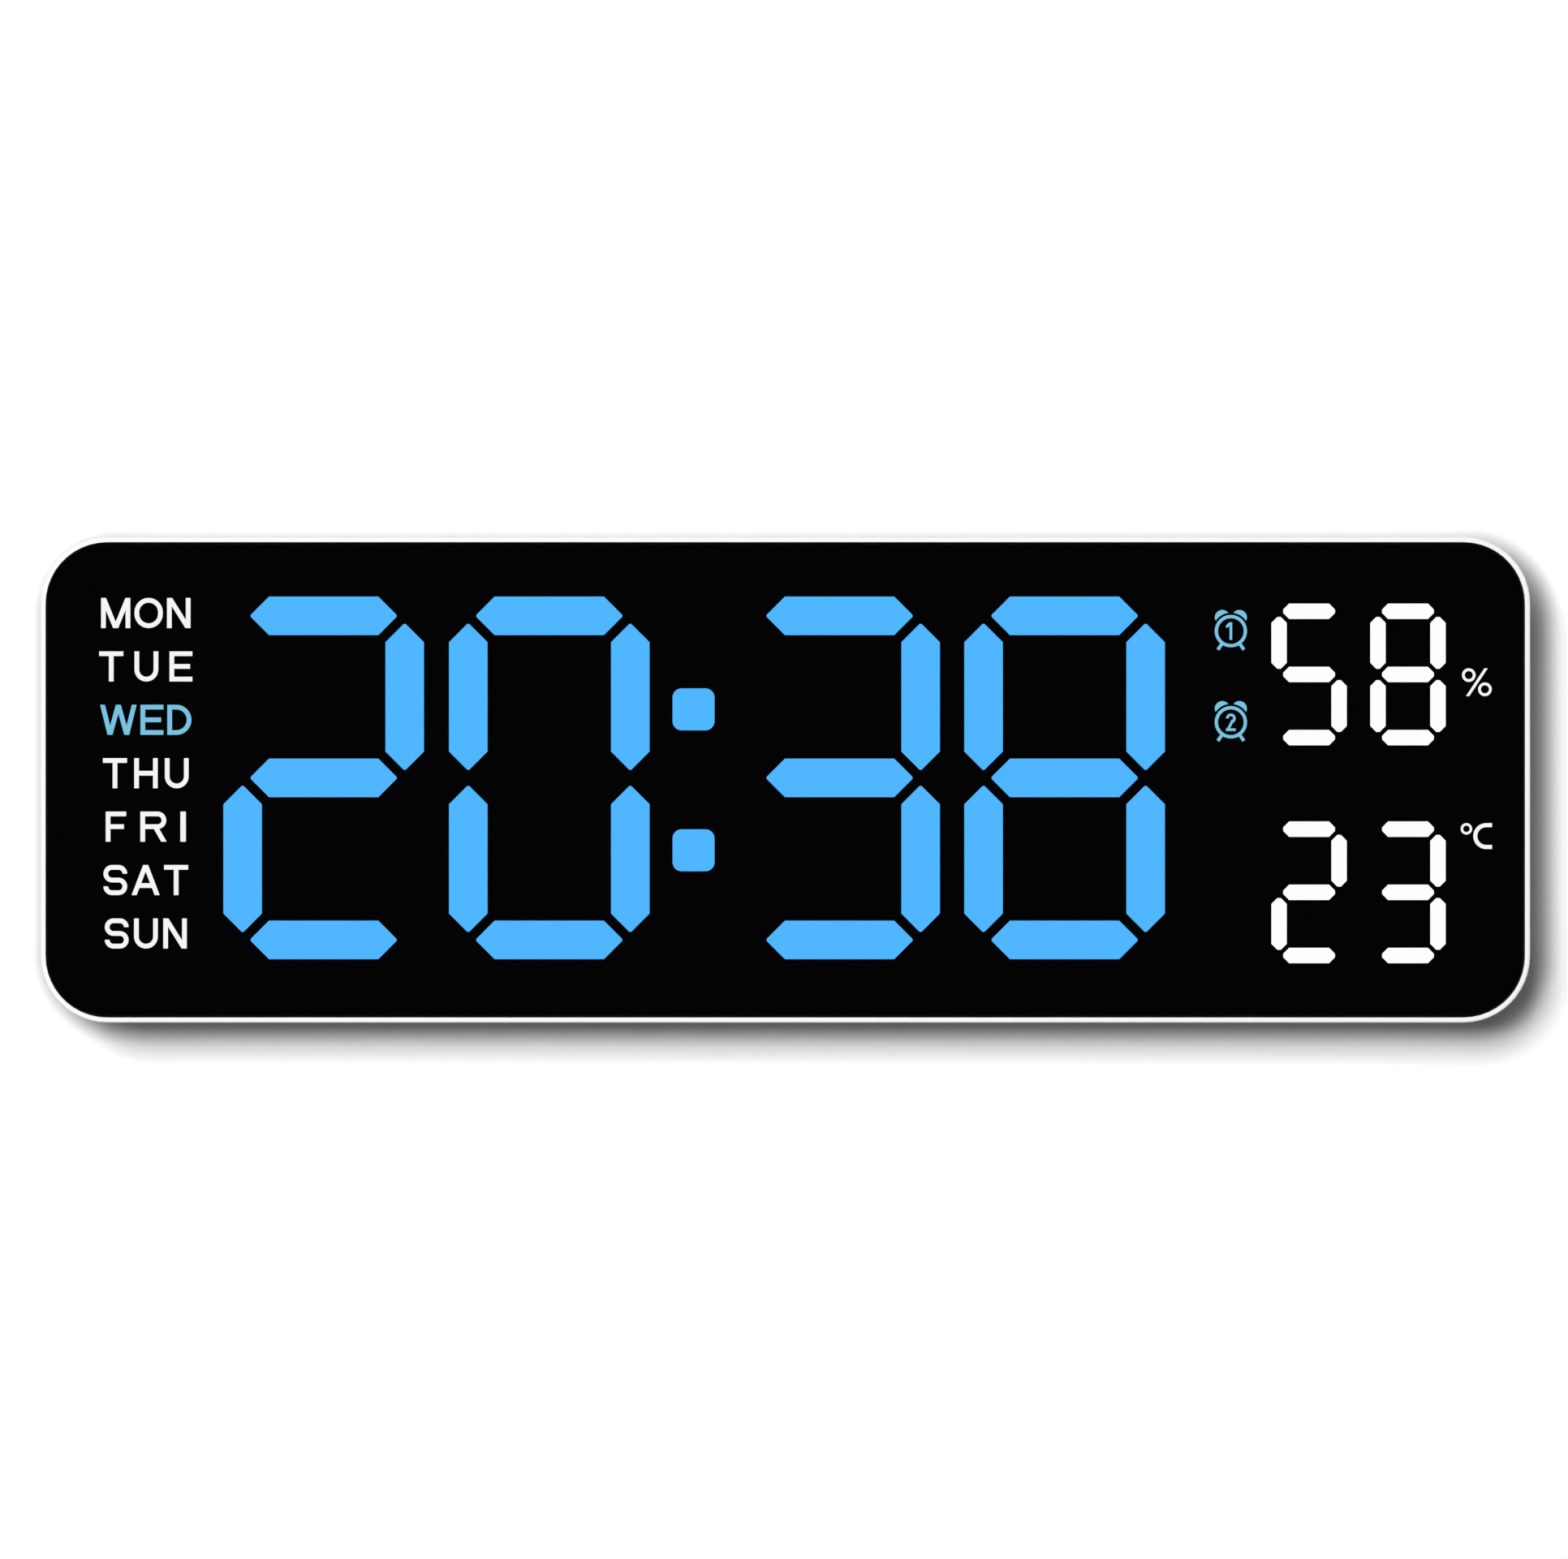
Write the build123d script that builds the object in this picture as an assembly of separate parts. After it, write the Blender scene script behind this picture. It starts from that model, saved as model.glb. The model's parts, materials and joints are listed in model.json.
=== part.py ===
from build123d import *
import os
from math import hypot

# A digital wall clock, front towards -Y, wall plane at y = 0, origin at the middle of that plane.
# All lengths are millimetres.

# Case
width = 230.0
height = 75.0
depth = 26.0
corner_radius = 10.3
wall = 2.0
rim = 0.8
rim_round = 0.35
rear_wall = 2.2
rear_cover_depth = 9.0
back_round = 4.0
lip_depth = 2.0
lip_thickness = 0.9
lip_clearance = 0.1
overrun = 1.0

# Front stack
lens_recess = 0.1
lens_gap = 0.1
lens_thickness = 1.8
lens_edge = 0.25
adhesive_thickness = 0.2
ledge = 3.2
ledge_thickness = 1.8
mask_gap = 0.2
mask_thickness = 0.8
legend_depth = 0.4
board_thickness = 1.6
board_gap = 1.45

# Big digits
digit_column_share = 0.10896
digit_row_share = 0.33413
digit_gap = 2.51
digit_thickness = 5.95
digit_tip = 0.3
digit_block_share = 0.3175
digit_well_gap = 0.25
digit_x_shares = (-0.3104, -0.1587, 0.0365, 0.1878)
digit_z_share = 0.004
digit_reading = "2038"

# Colon
colon_side = 6.48
colon_corner = 1.4
colon_x_share = -0.0617
colon_z_share = 0.1453

# Small digits of the two readouts
small_column_share = 0.04035
small_row_share = 0.13027
small_level_gap = 1.28
small_upright_gap = 1.77
small_thickness = 2.38
small_tip = 0.55
small_block_share = 0.1905
small_well_gap = 0.1
small_x_shares = (0.3522, 0.4187)
humidity_z_share = 0.2173
humidity_reading = "58"
temperature_z_share = -0.232
temperature_reading = "23"

# Weekday column
letter_height = 4.65
letter_stroke = 0.72
weekday_x_share = -0.43
weekday_top_z_share = 0.344
weekday_bottom_z_share = -0.3168
weekday_width = 14.4
weekday_well_margin = 0.6
weekdays = ("MON", "TUE", "WED", "THU", "FRI", "SAT", "SUN")
letter_cross_share = 0.24
letter_valley_share = 0.27
weekday_width_shares = (0.96, 1.0, 0.98, 0.92, 0.86, 0.91, 0.88)
current_weekday = "WED"
letter_width_shares = {
    "A": 0.92, "D": 0.8, "E": 0.76, "F": 0.68, "H": 0.78, "I": 0.18, "M": 0.97,
    "N": 0.78, "O": 0.94, "R": 0.86, "S": 0.79, "T": 0.8, "U": 0.79, "W": 1.21,
}

# Alarm icons and unit signs
icon_radius = 2.5
icon_stroke = 0.5
icon_bell_radius = 1.15
icon_bell_gap = 0.35
icon_numeral_height = 2.7
icon_numeral_width = 1.5
icon_numeral_stroke = 0.4
icon_foot_length = 1.5
icon_foot_angle = 35
icon_bell_angle = 32
icon_flag_share = 0.7
icon_bend_share = 0.72
icon_x_share = 0.2996
icon_z_shares = (0.3067, 0.1187)
icon_well_margin = 1.2
sign_x_share = 0.465
percent_z_share = 0.2013
percent_width = 4.6
percent_height = 4.3
percent_ring = 1.05
percent_stroke = 0.42
percent_foot_share = 0.19
celsius_x_share = 0.4626
celsius_z_share = -0.116
celsius_width = 2.9
celsius_height = 4.0
celsius_stroke = 0.62
degree_ring = 0.88
degree_stroke = 0.37
degree_gap = 0.18
sign_well_margin = 0.5

# Lamps on the front of the board
digit_lamp_length = 3.0
digit_lamp_width = 1.4
digit_lamp_height = 0.8
digit_lamp_share = 0.216
legend_lamp_length = 1.6
legend_lamp_width = 0.8
legend_lamp_height = 0.6
weekday_lamp_share = 0.25

# Housing screws and their posts
screw_x_share = 0.452
screw_inner_x_share = 0.165
screw_inset = 5.7
screw_radius = 1.1
screw_length = 14.0
screw_head_radius = 2.2
screw_head_height = 1.6
screw_slot_width = 0.6
screw_slot_depth = 0.7
screw_slot_share = 0.6
screw_head_recess = 2.4
screw_hole_clearance = 0.25
screw_thread_clearance = 0.02
post_radius = 2.4
post_clearance = 0.3
post_reach = 3.5
boss_radius = 3.2
boss_gap = 0.1
pilot_extra = 1.0

# Board screws
board_screw_radius = 0.95
board_screw_bite_share = 0.6984
board_screw_head_radius = 1.8
board_screw_head_height = 1.2
board_screw_x_shares = (-0.387, -0.0617, 0.2717)
board_screw_z_share = 0.293

# Posts of the rear cover that press the board forward
press_post_radius = 1.6
press_x_share = 0.261
press_z_shares = (0.24, -0.4)

# Keyholes for hanging
keyhole_spacing = 150.0
keyhole_z_share = 0.293
keyhole_entry_radius = 4.0
keyhole_slot_width = 4.2
keyhole_rise = 6.5

# Battery bay, cells and door
cell_radius = 5.25
cell_length = 44.5
cell_nub_radius = 1.9
cell_nub_height = 1.2
cell_edge = 0.5
cell_count = 3
cell_spacing = 0.6
cell_gap = 0.1
cell_door_gap = 0.3
bay_z_share = -0.053
bay_wall = 1.2
bay_rib_width = 0.9
bay_rib_height = 2.6
contact_thickness = 0.4
contact_width = 7.5
contact_height = 8.0
contact_bow = 2.4
contact_leaf_width = 5.0
contact_tab_width = 2.0
contact_tab_length = 2.6
contact_gap = 0.05
lead_radius = 0.55
lead_run = 3.5
lead_bend = 2.6
door_thickness = 1.7
door_recess = 0.15
door_gap = 0.3
door_seat = 2.0
door_seat_thickness = 1.8
door_seat_gap = 0.1
door_corner = 1.6
trunnion_radius = 0.6
trunnion_length = 1.3
trunnion_clearance = 0.05
latch_width = 14.0
latch_length = 8.0
latch_slit = 0.8
grip_count = 4
grip_pitch = 2.2
grip_width = 1.0
grip_depth = 0.5

# Folding stand
leg_width = 52.0
leg_length = 40.5
leg_thickness = 2.6
leg_recess = 0.4
leg_corner = 4.0
leg_edge = 0.5
leg_gap = 0.4
leg_foot_margin = 3.0
leg_notch_radius = 7.0
leg_notch_depth = 4.0
leg_panel_margin = 6.0
leg_panel_depth = 0.6
recess_wall = 1.6
barrel_radius = 1.9
barrel_clearance = 0.35
pin_radius = 1.0
pin_running_clearance = 0.05
pin_seat_clearance = 0.02
pin_seat_length = 4.0
pin_boss_height = 7.0

# Rear buttons and their switches
button_names = ("set", "up", "down", "alarm", "snooze")
button_spacing = 1.6
button_z_share = 0.027
button_radius = 4.2
button_gap = 0.3
button_recess = 0.2
button_edge = 0.7
button_field_depth = 0.8
button_field_margin = 2.2
button_field_end_share = 0.98
button_flange = 1.0
button_flange_thickness = 1.0
button_flange_gap = 0.1
button_stem_radius = 1.9
button_mark = 1.7
button_mark_stroke = 0.6
button_mark_depth = 0.3
switch_side = 6.0
switch_height = 3.5
switch_edge = 0.4
plunger_radius = 1.7
plunger_rise = 1.6
plunger_sink = 1.0
plunger_room = 0.6
plunger_clearance = 0.15

# Power socket in the left side wall
socket_z_share = 0.16
socket_width = 8.94
socket_height = 3.26
socket_length = 7.35
socket_wall = 0.3
socket_inset = 0.15
socket_end_share = 0.45
socket_opening_gap = 0.45
socket_dish_width = 12.6
socket_dish_height = 7.0
socket_dish_depth = 0.9
tongue_width = 6.6
tongue_thickness = 0.7
tongue_length = 5.6

# Parts on the rear of the board
chip_side = 10.0
chip_height = 1.5
chip_edge = 0.25
chip_lead_width = 0.4
chip_lead_pitch = 0.9
chip_lead_count = 10
chip_lead_length = 1.0
chip_lead_height = 0.5
chip_x_share = 0.0
chip_z_share = 0.24
driver_length = 10.3
driver_width = 7.5
driver_height = 2.3
driver_x_shares = (-0.108, 0.108)
driver_z_share = -0.25
crystal_radius = 1.5
crystal_length = 6.0
crystal_x_share = 0.055
crystal_z_share = 0.28
capacitor_radius = 3.15
capacitor_height = 7.0
capacitor_edge = 0.4
capacitor_x_shares = (0.09, 0.13)
capacitor_z_share = 0.26
buzzer_radius = 6.0
buzzer_height = 8.5
buzzer_port_radius = 1.0
buzzer_edge = 0.5
buzzer_x_share = -0.26
buzzer_z_share = -0.2
sensor_side = 3.0
sensor_height = 1.0
sensor_window_radius = 0.6
sensor_x_share = -0.4
sensor_z_share = -0.2

# Sound holes and vents in the rear cover
sound_hole_radius = 0.9
sound_ring_radius = 3.4
sound_hole_count = 8
vent_length = 13.0
vent_width = 1.6
vent_pitch = 3.6
vent_count = 5
vent_end_share = 0.49

# Depths, from the front plane back to the wall plane
front_y = -depth
lens_front_y = front_y + lens_recess
lens_back_y = lens_front_y + lens_thickness
ledge_front_y = lens_back_y + adhesive_thickness
ledge_back_y = ledge_front_y + ledge_thickness
mask_back_y = lens_back_y + mask_thickness
door_inner_y = -door_recess - door_thickness
cell_axis_y = door_inner_y - cell_door_gap - cell_radius
bay_floor_y = cell_axis_y - cell_radius - cell_gap
bay_back_y = bay_floor_y - bay_wall
board_back_y = bay_back_y - board_gap
reflector_back_y = board_back_y - board_thickness
reflector_depth = reflector_back_y - mask_back_y
digit_block_depth = mask_thickness + digit_block_share * reflector_depth
small_block_depth = mask_thickness + small_block_share * reflector_depth
board_screw_length = board_thickness + board_screw_bite_share * reflector_depth
split_y = -rear_cover_depth
inner_y = -rear_wall
screw_seat_y = -screw_head_recess
post_back_y = split_y - post_reach

# Places that several pieces share
screw_z = height / 2 - screw_inset
screw_places = [
    (-screw_x_share * width, screw_z),
    (screw_x_share * width, screw_z),
    (-screw_x_share * width, -screw_z),
    (screw_x_share * width, -screw_z),
    (-screw_inner_x_share * width, -screw_z),
    (screw_inner_x_share * width, -screw_z),
]
board_screw_places = [
    (x_share * width, side * board_screw_z_share * height)
    for x_share in board_screw_x_shares
    for side in (-1, 1)
]
press_places = [
    (side * press_x_share * width, z_share * height)
    for z_share in press_z_shares
    for side in (-1, 1)
]
recess_width = leg_width + 2 * leg_gap
pin_end = recess_width / 2 + pin_seat_length
side_room_x = (pin_end + width / 2 - wall) / 2
button_pitch = 2 * (button_radius + button_flange) + button_spacing
button_places = [
    ((number - (len(button_names) - 1) / 2) * button_pitch - side_room_x, button_z_share * height)
    for number in range(len(button_names))
]
cell_pitch = 2 * cell_radius + cell_spacing
bay_length = cell_length + contact_bow + 2 * contact_thickness + 2 * contact_gap
bay_height = (cell_count - 1) * cell_pitch + 2 * (cell_radius + cell_gap)
bay_x = side_room_x
bay_z = bay_z_share * height
cell_places = [
    bay_z + (number - (cell_count - 1) / 2) * cell_pitch
    for number in range(cell_count)
]
door_width = bay_length + 2 * door_seat
door_height = bay_height + 2 * door_seat
door_hinge_y = -door_recess - door_thickness / 2
door_hinge_z = bay_z + door_height / 2 - door_thickness / 2
leg_hinge_y = -leg_recess - barrel_radius
leg_end_z = leg_foot_margin - height / 2
leg_hinge_z = leg_end_z + leg_length
recess_floor_y = -leg_recess - leg_thickness - leg_gap
recess_top_z = leg_hinge_z + barrel_radius + leg_gap
recess_bottom_z = leg_end_z - leg_gap
button_face_y = -button_recess
button_flange_y = inner_y - button_flange_gap
button_stem_y = button_flange_y - button_flange_thickness
switch_top_y = board_back_y + switch_height
plunger_top_y = switch_top_y + plunger_rise
socket_axis_y = board_back_y + socket_height / 2
socket_mouth_x = -width / 2 + wall + socket_inset
socket_z = socket_z_share * height


def slab(outline, front, back):
    """A plate with this outline on the face plane, from a front depth to a back depth."""
    plane = Plane(origin=(0, back, 0), x_dir=(1, 0, 0), z_dir=(0, -1, 0))
    return extrude(plane * outline, amount=back - front)


def at(place, outline):
    """The outline moved to an x and z place on the face."""
    return Pos(place[0], place[1]) * outline


def rod_x(radius, x_from, x_to, y, z):
    """A round rod along X."""
    plane = Plane(origin=(x_from, y, z), x_dir=(0, 1, 0), z_dir=(1, 0, 0))
    return extrude(plane * Circle(radius), amount=x_to - x_from)


def block_x(outline, x_from, x_to, y, z):
    """A block along X whose section is drawn with Y across and Z up."""
    plane = Plane(origin=(x_from, y, z), x_dir=(0, 1, 0), z_dir=(1, 0, 0))
    return extrude(plane * outline, amount=x_to - x_from)


def case_outline(inset):
    """The rounded case outline, drawn in by an even inset."""
    return RectangleRounded(width - 2 * inset, height - 2 * inset, corner_radius - inset)


def edges_at(solid, face_at_back):
    """Edges round the rearmost or the foremost flat face."""
    faces = solid.faces().sort_by(Axis.Y)
    return faces[-1].edges() if face_at_back else faces[0].edges()


# Seven-segment outlines

segment_shares = {
    "a": (0, 1), "b": (0.5, 0.5), "c": (0.5, -0.5), "d": (0, -1),
    "e": (-0.5, -0.5), "f": (-0.5, 0.5), "g": (0, 0),
}
upright_segments = "bcef"
lit_segments = {"0": "abcdef", "2": "abged", "3": "abcdg", "5": "afgcd", "8": "abcdefg"}


def segment_outline(length, thickness, tip):
    """A bar with two mitred ends and a small flat at each tip."""
    end = length / 2
    flat = end - (thickness - tip) / 2
    side = thickness / 2
    return Polygon(
        (-end, -tip / 2), (-flat, -side), (flat, -side), (end, -tip / 2),
        (end, tip / 2), (flat, side), (-flat, side), (-end, tip / 2), align=None,
    )


def put_segment(place, name, column, row, level, upright):
    """A level or an upright outline, moved to one named segment of a digit."""
    column_share, row_share = segment_shares[name]
    outline = Rot(0, 0, 90) * upright if name in upright_segments else level
    return at((place[0] + column_share * column, place[1] + row_share * row), outline)


def big_digit(place, names, grown=0.0):
    """Outlines of the named segments of one big digit, grown by an even gap."""
    across = digit_thickness + 2 * grown
    level = segment_outline(digit_column - digit_gap + 2 * grown, across, digit_tip + grown)
    upright = segment_outline(digit_row - digit_gap + 2 * grown, across, digit_tip + grown)
    return [put_segment(place, name, digit_column, digit_row, level, upright) for name in names]


def small_digit(place, names, grown=0.0):
    """Outlines of the named segments of one readout digit, grown by an even gap."""
    across = small_thickness + 2 * grown
    level = segment_outline(small_column - small_level_gap + 2 * grown, across, small_tip + grown)
    upright = segment_outline(small_row - small_upright_gap + 2 * grown, across, small_tip + grown)
    return [put_segment(place, name, small_column, small_row, level, upright) for name in names]


def dark(names):
    """The segments of a digit that this reading leaves unlit."""
    return [name for name in segment_shares if name not in names]


digit_column = digit_column_share * width
digit_row = digit_row_share * height
small_column = small_column_share * width
small_row = small_row_share * height
weekday_pitch = (weekday_top_z_share - weekday_bottom_z_share) * height / (len(weekdays) - 1)
digit_places = [(x_share * width, digit_z_share * height) for x_share in digit_x_shares]
humidity_places = [(x_share * width, humidity_z_share * height) for x_share in small_x_shares]
temperature_places = [(x_share * width, temperature_z_share * height) for x_share in small_x_shares]
small_digits = list(zip(humidity_places, humidity_reading))
small_digits += list(zip(temperature_places, temperature_reading))
colon_places = [(colon_x_share * width, side * colon_z_share * height) for side in (1, -1)]
weekday_places = [
    (weekday_x_share * width, weekday_top_z_share * height - number * weekday_pitch)
    for number in range(len(weekdays))
]
icon_places = [(icon_x_share * width, z_share * height) for z_share in icon_z_shares]
percent_place = (sign_x_share * width, percent_z_share * height)
celsius_place = (celsius_x_share * width, celsius_z_share * height)
sign_places = [percent_place, (percent_place[0], celsius_place[1])]


# Letters, drawn as strokes from a lower left corner at zero

def bar(x_from, z_from, x_to, z_to):
    """An upright rectangle between two corners."""
    middle = ((x_from + x_to) / 2, (z_from + z_to) / 2)
    return at(middle, Rectangle(x_to - x_from, z_to - z_from))


def slant(x_low, x_high, z_low, z_high, stroke):
    """A slanted stroke with level ends."""
    half = stroke * hypot(x_high - x_low, z_high - z_low) / (z_high - z_low) / 2
    return Polygon(
        (x_low - half, z_low), (x_low + half, z_low),
        (x_high + half, z_high), (x_high - half, z_high), align=None,
    )


def quarter(x, z, radius, stroke, side_x, side_z):
    """A quarter of a ring, on the named sides of its centre."""
    ring = Circle(radius) - Circle(radius - stroke)
    corner = at((side_x * radius / 2, side_z * radius / 2), Rectangle(radius, radius))
    return at((x, z), ring & corner)


def letter_a(w, h, s):
    cross = h * letter_cross_share
    legs = [slant(s / 2, w / 2, 0, h, s), slant(w - s / 2, w / 2, 0, h, s)]
    return legs + [bar(w / 4, cross, w * 3 / 4, cross + s)]


def letter_d(w, h, s):
    r = h / 2
    straight = w - r
    return [
        bar(0, 0, s, h), bar(0, 0, straight, s), bar(0, h - s, straight, h),
        quarter(straight, r, r, s, 1, 1), quarter(straight, r, r, s, 1, -1),
    ]


def letter_e(w, h, s):
    middle = (h - s) / 2
    return [bar(0, 0, s, h), bar(0, 0, w, s), bar(0, middle, w - s / 2, middle + s), bar(0, h - s, w, h)]


def letter_f(w, h, s):
    middle = (h - s) / 2
    return [bar(0, 0, s, h), bar(0, middle, w - s / 2, middle + s), bar(0, h - s, w, h)]


def letter_h(w, h, s):
    middle = (h - s) / 2
    return [bar(0, 0, s, h), bar(w - s, 0, w, h), bar(0, middle, w, middle + s)]


def letter_i(w, h, s):
    return [bar(0, 0, w, h)]


def letter_m(w, h, s):
    posts = [bar(0, 0, s, h), bar(w - s, 0, w, h)]
    return posts + [slant(w / 2, s / 2, 0, h, s), slant(w / 2, w - s / 2, 0, h, s)]


def letter_n(w, h, s):
    return [bar(0, 0, s, h), bar(w - s, 0, w, h), slant(w - s / 2, s / 2, 0, h, s)]


def letter_o(w, h, s):
    r = w / 2
    sides = [bar(0, r, s, h - r), bar(w - s, r, w, h - r)]
    low = [quarter(r, r, r, s, side, -1) for side in (-1, 1)]
    high = [quarter(r, h - r, r, s, side, 1) for side in (-1, 1)]
    return sides + low + high


def letter_r(w, h, s):
    r = (h + s) / 4
    waist = h - 2 * r
    straight = w - r
    bowl = [quarter(straight, h - r, r, s, 1, side) for side in (-1, 1)]
    bars = [bar(0, 0, s, h), bar(0, h - s, straight, h), bar(0, waist, straight, waist + s)]
    return bars + bowl + [slant(w - s / 2, straight - s / 2, 0, waist + s / 2, s)]


def letter_s(w, h, s):
    r = (h + s) / 4
    bars = [bar(r, z, w - r, z + s) for z in (0, h - 2 * r, h - s)]
    left = [quarter(r, h - r, r, s, -1, side) for side in (-1, 1)]
    right = [quarter(w - r, r, r, s, 1, side) for side in (-1, 1)]
    return bars + left + right + [quarter(w - r, h - r, r, s, 1, 1), quarter(r, r, r, s, -1, -1)]


def letter_t(w, h, s):
    return [bar((w - s) / 2, 0, (w + s) / 2, h), bar(0, h - s, w, h)]


def letter_u(w, h, s):
    r = w / 2
    return [bar(0, r, s, h), bar(w - s, r, w, h)] + [quarter(r, r, r, s, side, -1) for side in (-1, 1)]


def letter_w(w, h, s):
    low = w * letter_valley_share
    return [
        slant(low, s / 2, 0, h, s), slant(low, w / 2, 0, h, s),
        slant(w - low, w / 2, 0, h, s), slant(w - low, w - s / 2, 0, h, s),
    ]


letters = {
    "A": letter_a, "D": letter_d, "E": letter_e, "F": letter_f, "H": letter_h,
    "I": letter_i, "M": letter_m, "N": letter_n, "O": letter_o, "R": letter_r,
    "S": letter_s, "T": letter_t, "U": letter_u, "W": letter_w,
}


def glyph(strokes, w, h):
    """One outline from its strokes, trimmed to the letter's box."""
    return (Sketch() + strokes) & bar(0, 0, w, h)


def word_outlines(word, place, total):
    """A word's letters, spread evenly over its total width about a place."""
    widths = [letter_width_shares[name] * letter_height for name in word]
    space = (total - sum(widths)) / (len(word) - 1)
    x = place[0] - total / 2
    outlines = []
    for name, w in zip(word, widths):
        shape = glyph(letters[name](w, letter_height, letter_stroke), w, letter_height)
        outlines.append(at((x, place[1] - letter_height / 2), shape))
        x += w + space
    return outlines


def numeral_one(w, h, s):
    stem = (w - s) / 2
    return [bar(stem, 0, stem + s, h), slant(0, stem + s / 2, h * icon_flag_share, h, s)]


def numeral_two(w, h, s):
    r = w / 2
    top = h - r
    bend = [quarter(r, top, r, s, -1, 1), quarter(r, top, r, s, 1, 1), quarter(r, top, r, s, 1, -1)]
    return bend + [slant(s / 2, w * icon_bend_share, 0, top - s / 2, s), bar(0, 0, w, s)]


def icon_outlines(place, numeral):
    """An alarm clock sign: a ring with feet, a numeral inside and two bells on top."""
    ring = Circle(icon_radius) - Circle(icon_radius - icon_stroke)
    reach = icon_radius + icon_stroke / 2
    feet = [
        Rot(0, 0, 270 + side * icon_foot_angle) * at((reach, 0), Rectangle(icon_foot_length, icon_stroke))
        for side in (-1, 1)
    ]
    around = Circle(icon_radius + icon_bell_gap)
    bells = [
        Rot(0, 0, 90 + side * icon_bell_angle) * at((icon_radius, 0), Circle(icon_bell_radius)) - around
        for side in (-1, 1)
    ]
    strokes = numeral(icon_numeral_width, icon_numeral_height, icon_numeral_stroke)
    figure = glyph(strokes, icon_numeral_width, icon_numeral_height)
    figure = at((-icon_numeral_width / 2, -icon_numeral_height / 2), figure)
    return [at(place, shape) for shape in [ring + feet, figure] + bells]


def percent_outlines(place):
    """A percent sign: a slanted stroke and two small rings."""
    left, low = place[0] - percent_width / 2, place[1] - percent_height / 2
    ring = Circle(percent_ring) - Circle(percent_ring - percent_stroke)
    foot = percent_width * percent_foot_share
    stroke = slant(left + foot, left + percent_width - foot, low, low + percent_height, percent_stroke)
    upper = at((left + percent_ring, low + percent_height - percent_ring), ring)
    lower = at((left + percent_width - percent_ring, low + percent_ring), ring)
    return [Sketch() + [stroke, upper, lower]]


def celsius_outlines(place):
    """A degree ring, and beside it an open letter: a half ring with two straight arms."""
    r = celsius_height / 2
    arm = celsius_width - r
    bends = [quarter(0, 0, r, celsius_stroke, -1, side) for side in (-1, 1)]
    arms = [bar(0, r - celsius_stroke, arm, r), bar(0, -r, arm, celsius_stroke - r)]
    letter = at((place[0] + r, place[1]), Sketch() + bends + arms)
    ring = Circle(degree_ring) - Circle(degree_ring - degree_stroke)
    ring_place = (place[0] - degree_gap - degree_ring, place[1] + celsius_height / 2 - degree_ring)
    return [letter, at(ring_place, ring)]


def weekday_outlines(wanted):
    """Letter outlines of the weekdays for which the test holds."""
    outlines = []
    for word, place, share in zip(weekdays, weekday_places, weekday_width_shares):
        if wanted(word):
            outlines += word_outlines(word, place, share * weekday_width)
    return outlines


legend_outlines = {
    "weekday_letters": weekday_outlines(lambda word: word != current_weekday),
    "current_weekday_letters": weekday_outlines(lambda word: word == current_weekday),
    "alarm_icons": icon_outlines(icon_places[0], numeral_one) + icon_outlines(icon_places[1], numeral_two),
    "unit_signs": percent_outlines(percent_place) + celsius_outlines(celsius_place),
}


# Case shells

def post_notches():
    """Room round the screw posts, open to the nearest long edge."""
    radius = post_radius + post_clearance
    notches = []
    for x, z in screw_places:
        edge = height / 2 if z > 0 else -height / 2
        notches.append(at((x, z), Circle(radius)))
        notches.append(bar(x - radius, min(z, edge), x + radius, max(z, edge)))
    return notches


def front_housing():
    """The white front shell: rim, lens ledge, side walls and screw posts."""
    shell = slab(case_outline(0), front_y, split_y)
    shell = fillet(edges_at(shell, False), rim_round)
    hollows = [
        slab(case_outline(rim), front_y - overrun, ledge_front_y),
        slab(case_outline(ledge), ledge_front_y - overrun, ledge_back_y + overrun),
        slab(case_outline(wall), ledge_back_y, split_y + overrun),
        slab(case_outline(wall - lip_thickness - lip_clearance), split_y - lip_depth, split_y + overrun),
    ]
    shell = shell - hollows
    for x, z in screw_places:
        edge = (height - wall) / 2 if z > 0 else (wall - height) / 2
        post = slab(at((x, z), Circle(post_radius)), ledge_back_y, post_back_y)
        web = bar(x - post_radius / 2, min(z, edge), x + post_radius / 2, max(z, edge))
        shell = shell + [post, slab(web, ledge_back_y, post_back_y)]
        pilot = Circle(screw_radius + screw_thread_clearance)
        pilot_front = screw_seat_y - screw_length - pilot_extra
        shell = shell - slab(at((x, z), pilot), pilot_front, post_back_y + overrun)
    dish = RectangleRounded(socket_dish_height, socket_dish_width, socket_dish_height / 3)
    side_x = -width / 2
    shell = shell - block_x(dish, side_x - overrun, side_x + socket_dish_depth, socket_axis_y, socket_z)
    mouth_height = socket_height + 2 * socket_opening_gap
    mouth = RectangleRounded(mouth_height, socket_width + 2 * socket_opening_gap, mouth_height / 3)
    return shell - block_x(mouth, side_x - overrun, side_x + wall + overrun, socket_axis_y, socket_z)


def keyhole(place):
    """A round entry with a narrower slot rising from it."""
    rise = bar(-keyhole_slot_width / 2, 0, keyhole_slot_width / 2, keyhole_rise)
    top = at((0, keyhole_rise), Circle(keyhole_slot_width / 2))
    return at(place, Circle(keyhole_entry_radius) + rise + top)


def recess_outline(grown):
    """The stand's recess, grown by an even wall: two round corners below and square ones at its hinge."""
    middle = (recess_top_z + recess_bottom_z) / 2
    tall = recess_top_z - recess_bottom_z + 2 * grown
    side = recess_width / 2 + grown
    rounded = RectangleRounded(2 * side, tall, leg_corner + leg_gap + grown)
    return at((0, middle), rounded) + bar(-side, middle, side, middle + tall / 2)


def bay_outline(grown):
    return at((bay_x, bay_z), Rectangle(bay_length + 2 * grown, bay_height + 2 * grown))


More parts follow.
